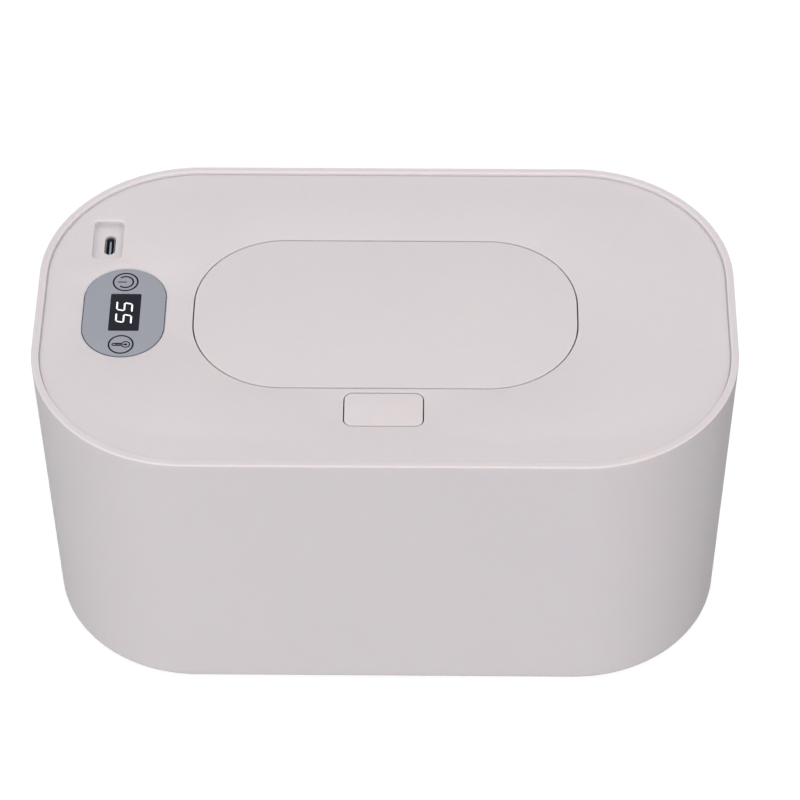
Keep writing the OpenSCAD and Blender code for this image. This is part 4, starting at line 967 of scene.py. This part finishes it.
def screw(name, head_r, head_h, shank_r, length, recess_r):
    """Pan-head screw, face down at the origin, with a cross recess and a ridged shank."""
    form = Form()
    soft = min(0.3, head_h * 0.4)
    face, under = form.wall(circle(head_r, n=40), levels(0, head_h, soft, 0.05, 4))
    arm = recess_r * 0.24
    cross = [(recess_r, -arm), (recess_r, arm), (arm, arm), (arm, recess_r), (-arm, recess_r), (-arm, arm)]
    cross += [(-x, -y) for x, y in cross]
    sunk = form.wall(cross, [(0, 0), (recess_r * 0.12, head_h * 0.7)])
    form.cap(face, sunk[0])
    form.cap(sunk[1])
    pitch = shank_r * 0.55
    ridges = [(0, head_h)]
    z = head_h + 0.15
    while z + pitch < length - shank_r:
        ridges += [(0, z), (shank_r * 0.2, z + pitch * 0.5)]
        z += pitch
    ridges += [(shank_r * 0.2, length - shank_r), (shank_r * 0.8, length)]
    neck, tip = form.wall(circle(shank_r, n=24), ridges)
    form.cap(under, neck)
    form.cap(tip)
    mesh = bpy.data.meshes.new(name)
    mesh.from_pydata([[c * MM for c in p] for p in form.points], [], form.faces)
    mesh.update()
    return bpy.data.objects.new(name, mesh)


def make_screws():
    kinds = (
        ("lid_screw_set", BOSSES, BASE_Z + 0.1, (2.8, 0.9, 1.05, 8.0, 1.5), "lid_screws"),
        ("heater_screw_set", HEATER_SCREWS, HEATER_Z - 0.35, (2.6, 0.35, 1.3, 4.6, 1.3), "heater_screws"),
        ("board_screw_set", BOARD_POSTS, BOARD_Z - 1.2, (2.1, 1.2, 0.85, 6.0, 1.2), "board_screws"),
    )
    for seed, (name, spots, z, sizes, cad) in enumerate(kinds):
        template = screw(name + "_one", *sizes)
        inputs = {"Screw": template, "Turn": 1.5, "Seed": seed, "Material": ZINC}
        grown(name, SCREWS, [(x, y, z) for x, y in spots], [], inputs, "lid", "screw_steel", cad)
        bpy.data.objects.remove(template)


# ---------------------------------------------------------------- heater and electrics
def stack(form, z0, z1, inset, edge, extra=()):
    """One layer of the heater's stack, open for the collar and the four screws."""
    outer = outline(170, 90, 32, inset, n=24)
    holes = [outline(*MOUTH, inset=-2.6 - inset, mid=FLAP_MID, n=24)] + [circle(1.6, s, 24) for s in HEATER_SCREWS]
    form.prism(outer, holes + list(extra), z0, z1, edge, edge, 3)


def line_across(a, b, share):
    return tuple(p + (q - p) * share for p, q in zip(a, b))


def make_heater():
    form = Form()
    stack(form, HEATER_Z, HEATER_Z + 1, 0, 0.2)
    piece("heating_plate", form, ALUMINIUM, "lid", "heater_aluminium", "heater_plate")
    form = Form()
    stack(form, HEATER_Z + 1, PAD_Z - 0.03, 2, 0.05)
    piece("heating_film", form, POLYIMIDE, "lid", "heater_polyimide", "heater_film")
    # Etched foil: a meander round the ring between the mouth and the edge
    form = Form()
    outer, inner = outline(170, 90, 32, 6.5, n=14), outline(170, 90, 32, 14.0, n=14)
    path = []
    for i, (far, near) in enumerate(zip(outer, inner)):
        path += (far, near) if i % 2 else (near, far)
    ribbon(form, path[:-2], 0.9, PAD_Z - 0.03, PAD_Z)
    piece("film_track", form, TIN, "lid", "heater_polyimide")
    form = Form()
    sensor = (-60, -28)
    fuse_way = outline(12, 6, 0.5, mid=(-60, 34), n=3)
    lead_way = [(-82.5, -12.5), (-78, -12.5), (-78, -28), (-63, -28)] + arc(3, 190, 440, 24, sensor)
    lead_way += [(-60, -25), (-75, -25), (-75, -12.5), (-73.5, -12.5), (-73.5, -3.5), (-82.5, -3.5)]
    stack(form, PAD_Z, BASE_Z, 1, 0.15, [fuse_way, lead_way])
    piece("foam_pad", form, FOAM, "lid", "foam", "insulation_pad")
    form = Form()
    bead = [(0, PAD_Z), (1.5, PAD_Z), (1.7, PAD_Z + 0.3), (1.65, PAD_Z + 0.9), (1.2, PAD_Z + 1.35), (0.5, PAD_Z + 1.5), (0, PAD_Z + 1.5)]
    form.turned(bead, sensor, 32)
    piece("sensor_bead", form, EPOXY, "lid", "epoxy_black", "temperature_sensor")
    form = Form()
    form.block((-65, 32, PAD_Z), (-55, 36, PAD_Z + 1.7), 0.35)
    piece("cutout_body", form, CERAMIC, "lid", "fuse_body", "thermal_fuse")


def make_leads():
    x, y = -79.5, -8.0
    paths = [
        [(x, y + k * 1.6, z) for z in (BOARD_Z, BASE_TOP, BASE_Z, PAD_Z)]
        for k in (-1, 1)
    ]
    wires("heater_wires", paths, 0.6, RED_LEAD, "lid", "lead_red", "heater_leads", sides=16)
    r, pitch = 0.3, 0.65
    x, x1, y0, y, z = -76.8, -62.1, -9.0, -27.1, PAD_Z + 0.4
    paths = []
    for k in (0, 1):
        s = k * pitch
        path = [(x, y0, BOARD_Z - s), (x, y0, BASE_TOP), (x, y0 - 0.6, BASE_Z - 0.6), (x, y0 - 3, z)]
        path += [(x, y + 3, z), (x + 0.8, y + 0.9, z), (x + 3, y, z), (x1 - s, y, z)]
        paths.append([(px + s, py + s, pz + s) for px, py, pz in path])
    wires("sensor_wires", paths, r, WHITE_LEAD, "lid", "lead_white", "sensor_leads")


def make_board():
    form = Form()
    edge = 5.95
    trimmed = [
        p
        for p in clip(outline(33, 66, 2, mid=(PANEL_X, 9.5), n=6), outline(LID_W, LID_D, LID_R, edge, n=40))
    ]
    form.prism(tidy(trimmed), [circle(1.15, s, 24) for s in BOARD_POSTS], BOARD_Z, BOARD_TOP, 0.03, 0.03, 2)
    piece("control_board", form, SOLDER_MASK, "lid", "board_laminate", "main_board")
    form = Form()
    for spot in BOARD_POSTS:
        form.turned([(1.2, BOARD_Z - 0.03), (2.6, BOARD_Z - 0.03), (2.6, BOARD_Z), (1.2, BOARD_Z)], spot, 32, closed=True)
    piece("board_pads", form, TIN, "lid", "board_laminate")
    form = Form()
    chip, choke, plug = (-94.5, 0.5), (-82.0, 8.0), (-93.5, 15.5)
    form.block((chip[0] - 2.9, chip[1] - 2.9, BOARD_Z - 1.2), (chip[0] + 2.9, chip[1] + 2.9, BOARD_Z - 0.15), 0.12)
    form.block((choke[0] - 4, choke[1] - 4, BOARD_Z - 0.5), (choke[0] + 4, choke[1] + 4, BOARD_Z), 0.15)
    form.block((choke[0] - 4, choke[1] - 4, BOARD_Z - 2.0), (choke[0] + 4, choke[1] + 4, BOARD_Z - 1.4), 0.25)
    form.turned([(0, BOARD_Z - 1.5), (3.4, BOARD_Z - 1.5), (3.4, BOARD_Z - 0.4), (0, BOARD_Z - 0.4)], choke, 40)
    piece("chip_and_choke", form, EPOXY, "lid", "board_parts", "board_parts")
    form = Form()
    w, d, h = 5, 3, 1.8
    x, y = plug
    form.prism(
        outline(w, d, 0.25, mid=plug, n=3),
        [outline(1.6, 1.7, 0.2, mid=(x + s * 1.1, y), n=3) for s in (-1, 1)],
        BOARD_Z - h,
        BOARD_Z,
        0.12,
        0,
        2,
    )
    piece("wire_socket", form, PLAIN_PP, "lid", "board_parts")
    form = Form()
    for s in (-1, 1):
        for k in range(8):
            y = chip[1] - 2.45 + 0.7 * k
            x0, x1 = sorted((chip[0] + s * 2.8, chip[0] + s * 3.5))
            form.block((x0, y - 0.14, BOARD_Z - 0.3), (x1, y + 0.14, BOARD_Z), 0.04)
    piece("chip_legs", form, TIN, "lid", "board_parts")
    form = Form()
    form.prism(outline(*WINDOW, 0.3, WINDOW_MID, 4), [], BOARD_TOP, PANEL_Z - 0.3, 0.02, 0.05, 2)
    piece("display_block", form, NYLON, "lid", "display_housing", "display_module")


def clip(loop, bound):
    """Convex loop cut to a convex bound, edge by edge."""
    for i, a in enumerate(bound):
        b = bound[(i + 1) % len(bound)]
        kept = []
        for j, p in enumerate(loop):
            q = loop[(j + 1) % len(loop)]
            sp = (b[0] - a[0]) * (p[1] - a[1]) - (b[1] - a[1]) * (p[0] - a[0])
            sq = (b[0] - a[0]) * (q[1] - a[1]) - (b[1] - a[1]) * (q[0] - a[0])
            if sp >= 0:
                kept.append(p)
            if (sp < 0) != (sq < 0):
                kept.append(line_across(p, q, sp / (sp - sq)))
        loop = kept
    return loop


# ---------------------------------------------------------------- camera, light and ground
def make_camera():
    """The photograph's view: angles, distance and aim fitted to the box's edges."""
    azimuth, elevation, roll = (math.radians(a) for a in (0.9715, 46.6348, -0.3731))
    distance, focal, aim_right, aim_up = 1309.036, 3687.34, 4.758, 13.244
    back = Vector(
        (
            math.sin(azimuth) * math.cos(elevation),
            -math.cos(azimuth) * math.cos(elevation),
            math.sin(elevation),
        )
    )
    level = Vector((0, 0, 1)).cross(back).normalized()
    upright = back.cross(level)
    right = math.cos(roll) * level + math.sin(roll) * upright
    up = -math.sin(roll) * level + math.cos(roll) * upright
    place = (Vector((0, 0, 51)) + aim_right * level + aim_up * upright + back * distance) * MM
    data = bpy.data.cameras.new("photo_camera")
    data.sensor_width = 36.0
    data.lens = focal / 800 * data.sensor_width
    camera = bpy.data.objects.new("photo_camera", data)
    camera.matrix_world = Matrix(
        [[right[i], up[i], back[i], place[i]] for i in range(3)] + [[0, 0, 0, 1]]
    )
    bpy.context.scene.collection.objects.link(camera)
    bpy.context.scene.camera = camera


# Diffuse light of the studio's dome, at its horizon and overhead, and which way its bright side leans
DOME_LOW, DOME_HIGH, DOME_LEAN = 0.08, 1.32, (0.0, -0.08, 1.0)


def make_ground():
    """White floor that keeps a soft shadow, and a white world."""
    mesh = bpy.data.meshes.new("floor")
    size = 40.0
    mesh.from_pydata([(-size, -size, 0), (size, -size, 0), (size, size, 0), (-size, size, 0)], [], [(0, 1, 2, 3)])
    floor = bpy.data.objects.new("floor", mesh)
    bpy.context.scene.collection.objects.link(floor)
    material = bpy.data.materials.new("white_floor")
    material.use_nodes = True
    tree = material.node_tree
    tree.nodes.clear()
    path = node(tree, "ShaderNodeLightPath")
    seen = node(
        tree,
        "ShaderNodeMath",
        None,
        {0: path.outputs["Is Camera Ray"], 1: path.outputs["Is Glossy Ray"]},
        operation="MAXIMUM",
    )
    seen = node(
        tree, "ShaderNodeMath", None, {0: seen.outputs[0], 1: path.outputs["Is Transmission Ray"]}, operation="MAXIMUM"
    )
    share = node(tree, "ShaderNodeMath", {1: 0.85}, {0: seen.outputs[0]}, operation="MULTIPLY")
    tone = node(tree, "ShaderNodeMapRange", {"To Min": 0.1, "To Max": 0.8}, {"Value": seen.outputs[0]})
    matt = node(tree, "ShaderNodeBsdfDiffuse", None, {"Color": tone.outputs[0]})
    glow = node(tree, "ShaderNodeEmission", {"Color": (1, 1, 1, 1), "Strength": 1.09})
    mix = node(
        tree, "ShaderNodeMixShader", None, {0: share.outputs[0], 1: matt.outputs[0], 2: glow.outputs[0]}
    )
    node(tree, "ShaderNodeOutputMaterial", None, {"Surface": mix.outputs[0]})
    mesh.materials.append(material)
    world = bpy.data.worlds.new("studio")
    bpy.context.scene.world = world
    world.use_nodes = True
    tree = world.node_tree
    tree.nodes.clear()
    path = node(tree, "ShaderNodeLightPath")
    seen = node(
        tree,
        "ShaderNodeMath",
        None,
        {0: path.outputs["Is Camera Ray"], 1: path.outputs["Is Transmission Ray"]},
        operation="MAXIMUM",
    )
    seen = node(
        tree, "ShaderNodeMath", None, {0: seen.outputs[0], 1: path.outputs["Is Glossy Ray"]}, operation="MAXIMUM"
    )
    way = node(tree, "ShaderNodeTexCoord").outputs["Generated"]
    lift = node(tree, "ShaderNodeVectorMath", {1: DOME_LEAN}, {0: way}, operation="DOT_PRODUCT")
    dome = node(
        tree, "ShaderNodeMapRange", {"To Min": DOME_LOW, "To Max": DOME_HIGH}, {"Value": lift.outputs["Value"]}
    )
    strength = node(
        tree, "ShaderNodeMapRange", {"To Max": 1.0}, {"Value": seen.outputs[0], "To Min": dome.outputs[0]}
    )
    sky = node(tree, "ShaderNodeBackground", {"Color": (1, 1, 1, 1)}, {"Strength": strength.outputs[0]})
    node(tree, "ShaderNodeOutputWorld", None, {"Surface": sky.outputs[0]})


def make_lamps():
    """Long soft lamps near the horizon, in front and a little to the left, and behind."""
    for name, place, length, height, power in (
        ("front_strip", (-0.34, -2.39, 0.21), 1.6, 0.4, 29.5),
        ("back_strip", (0.0, 2.4, 0.07), 1.0, 0.14, 24.0),
    ):
        data = bpy.data.lights.new(name, "AREA")
        data.shape = "RECTANGLE"
        data.size, data.size_y = length, height
        data.energy = power
        data.color = (0.97, 0.985, 1.0)
        lamp = bpy.data.objects.new(name, data)
        lamp.location = place
        lamp.visible_glossy = False
        lamp.rotation_euler = (Vector((0, 0, 0.06)) - lamp.location).to_track_quat("-Z", "Y").to_euler()
        bpy.context.scene.collection.objects.link(lamp)


bpy.context.scene.view_settings.view_transform = "Standard"
make_camera()
make_ground()
make_lamps()
make_box()
make_feet()
make_tray()
make_lid()
make_lid_floor()
make_lid_seal()
make_flap()
make_flap_seal()
make_pins()
make_button()
make_panel()
make_digits()
make_symbols()
make_socket()
make_springs()
make_flap_spring()
make_screws()
make_heater()
make_leads()
make_board()
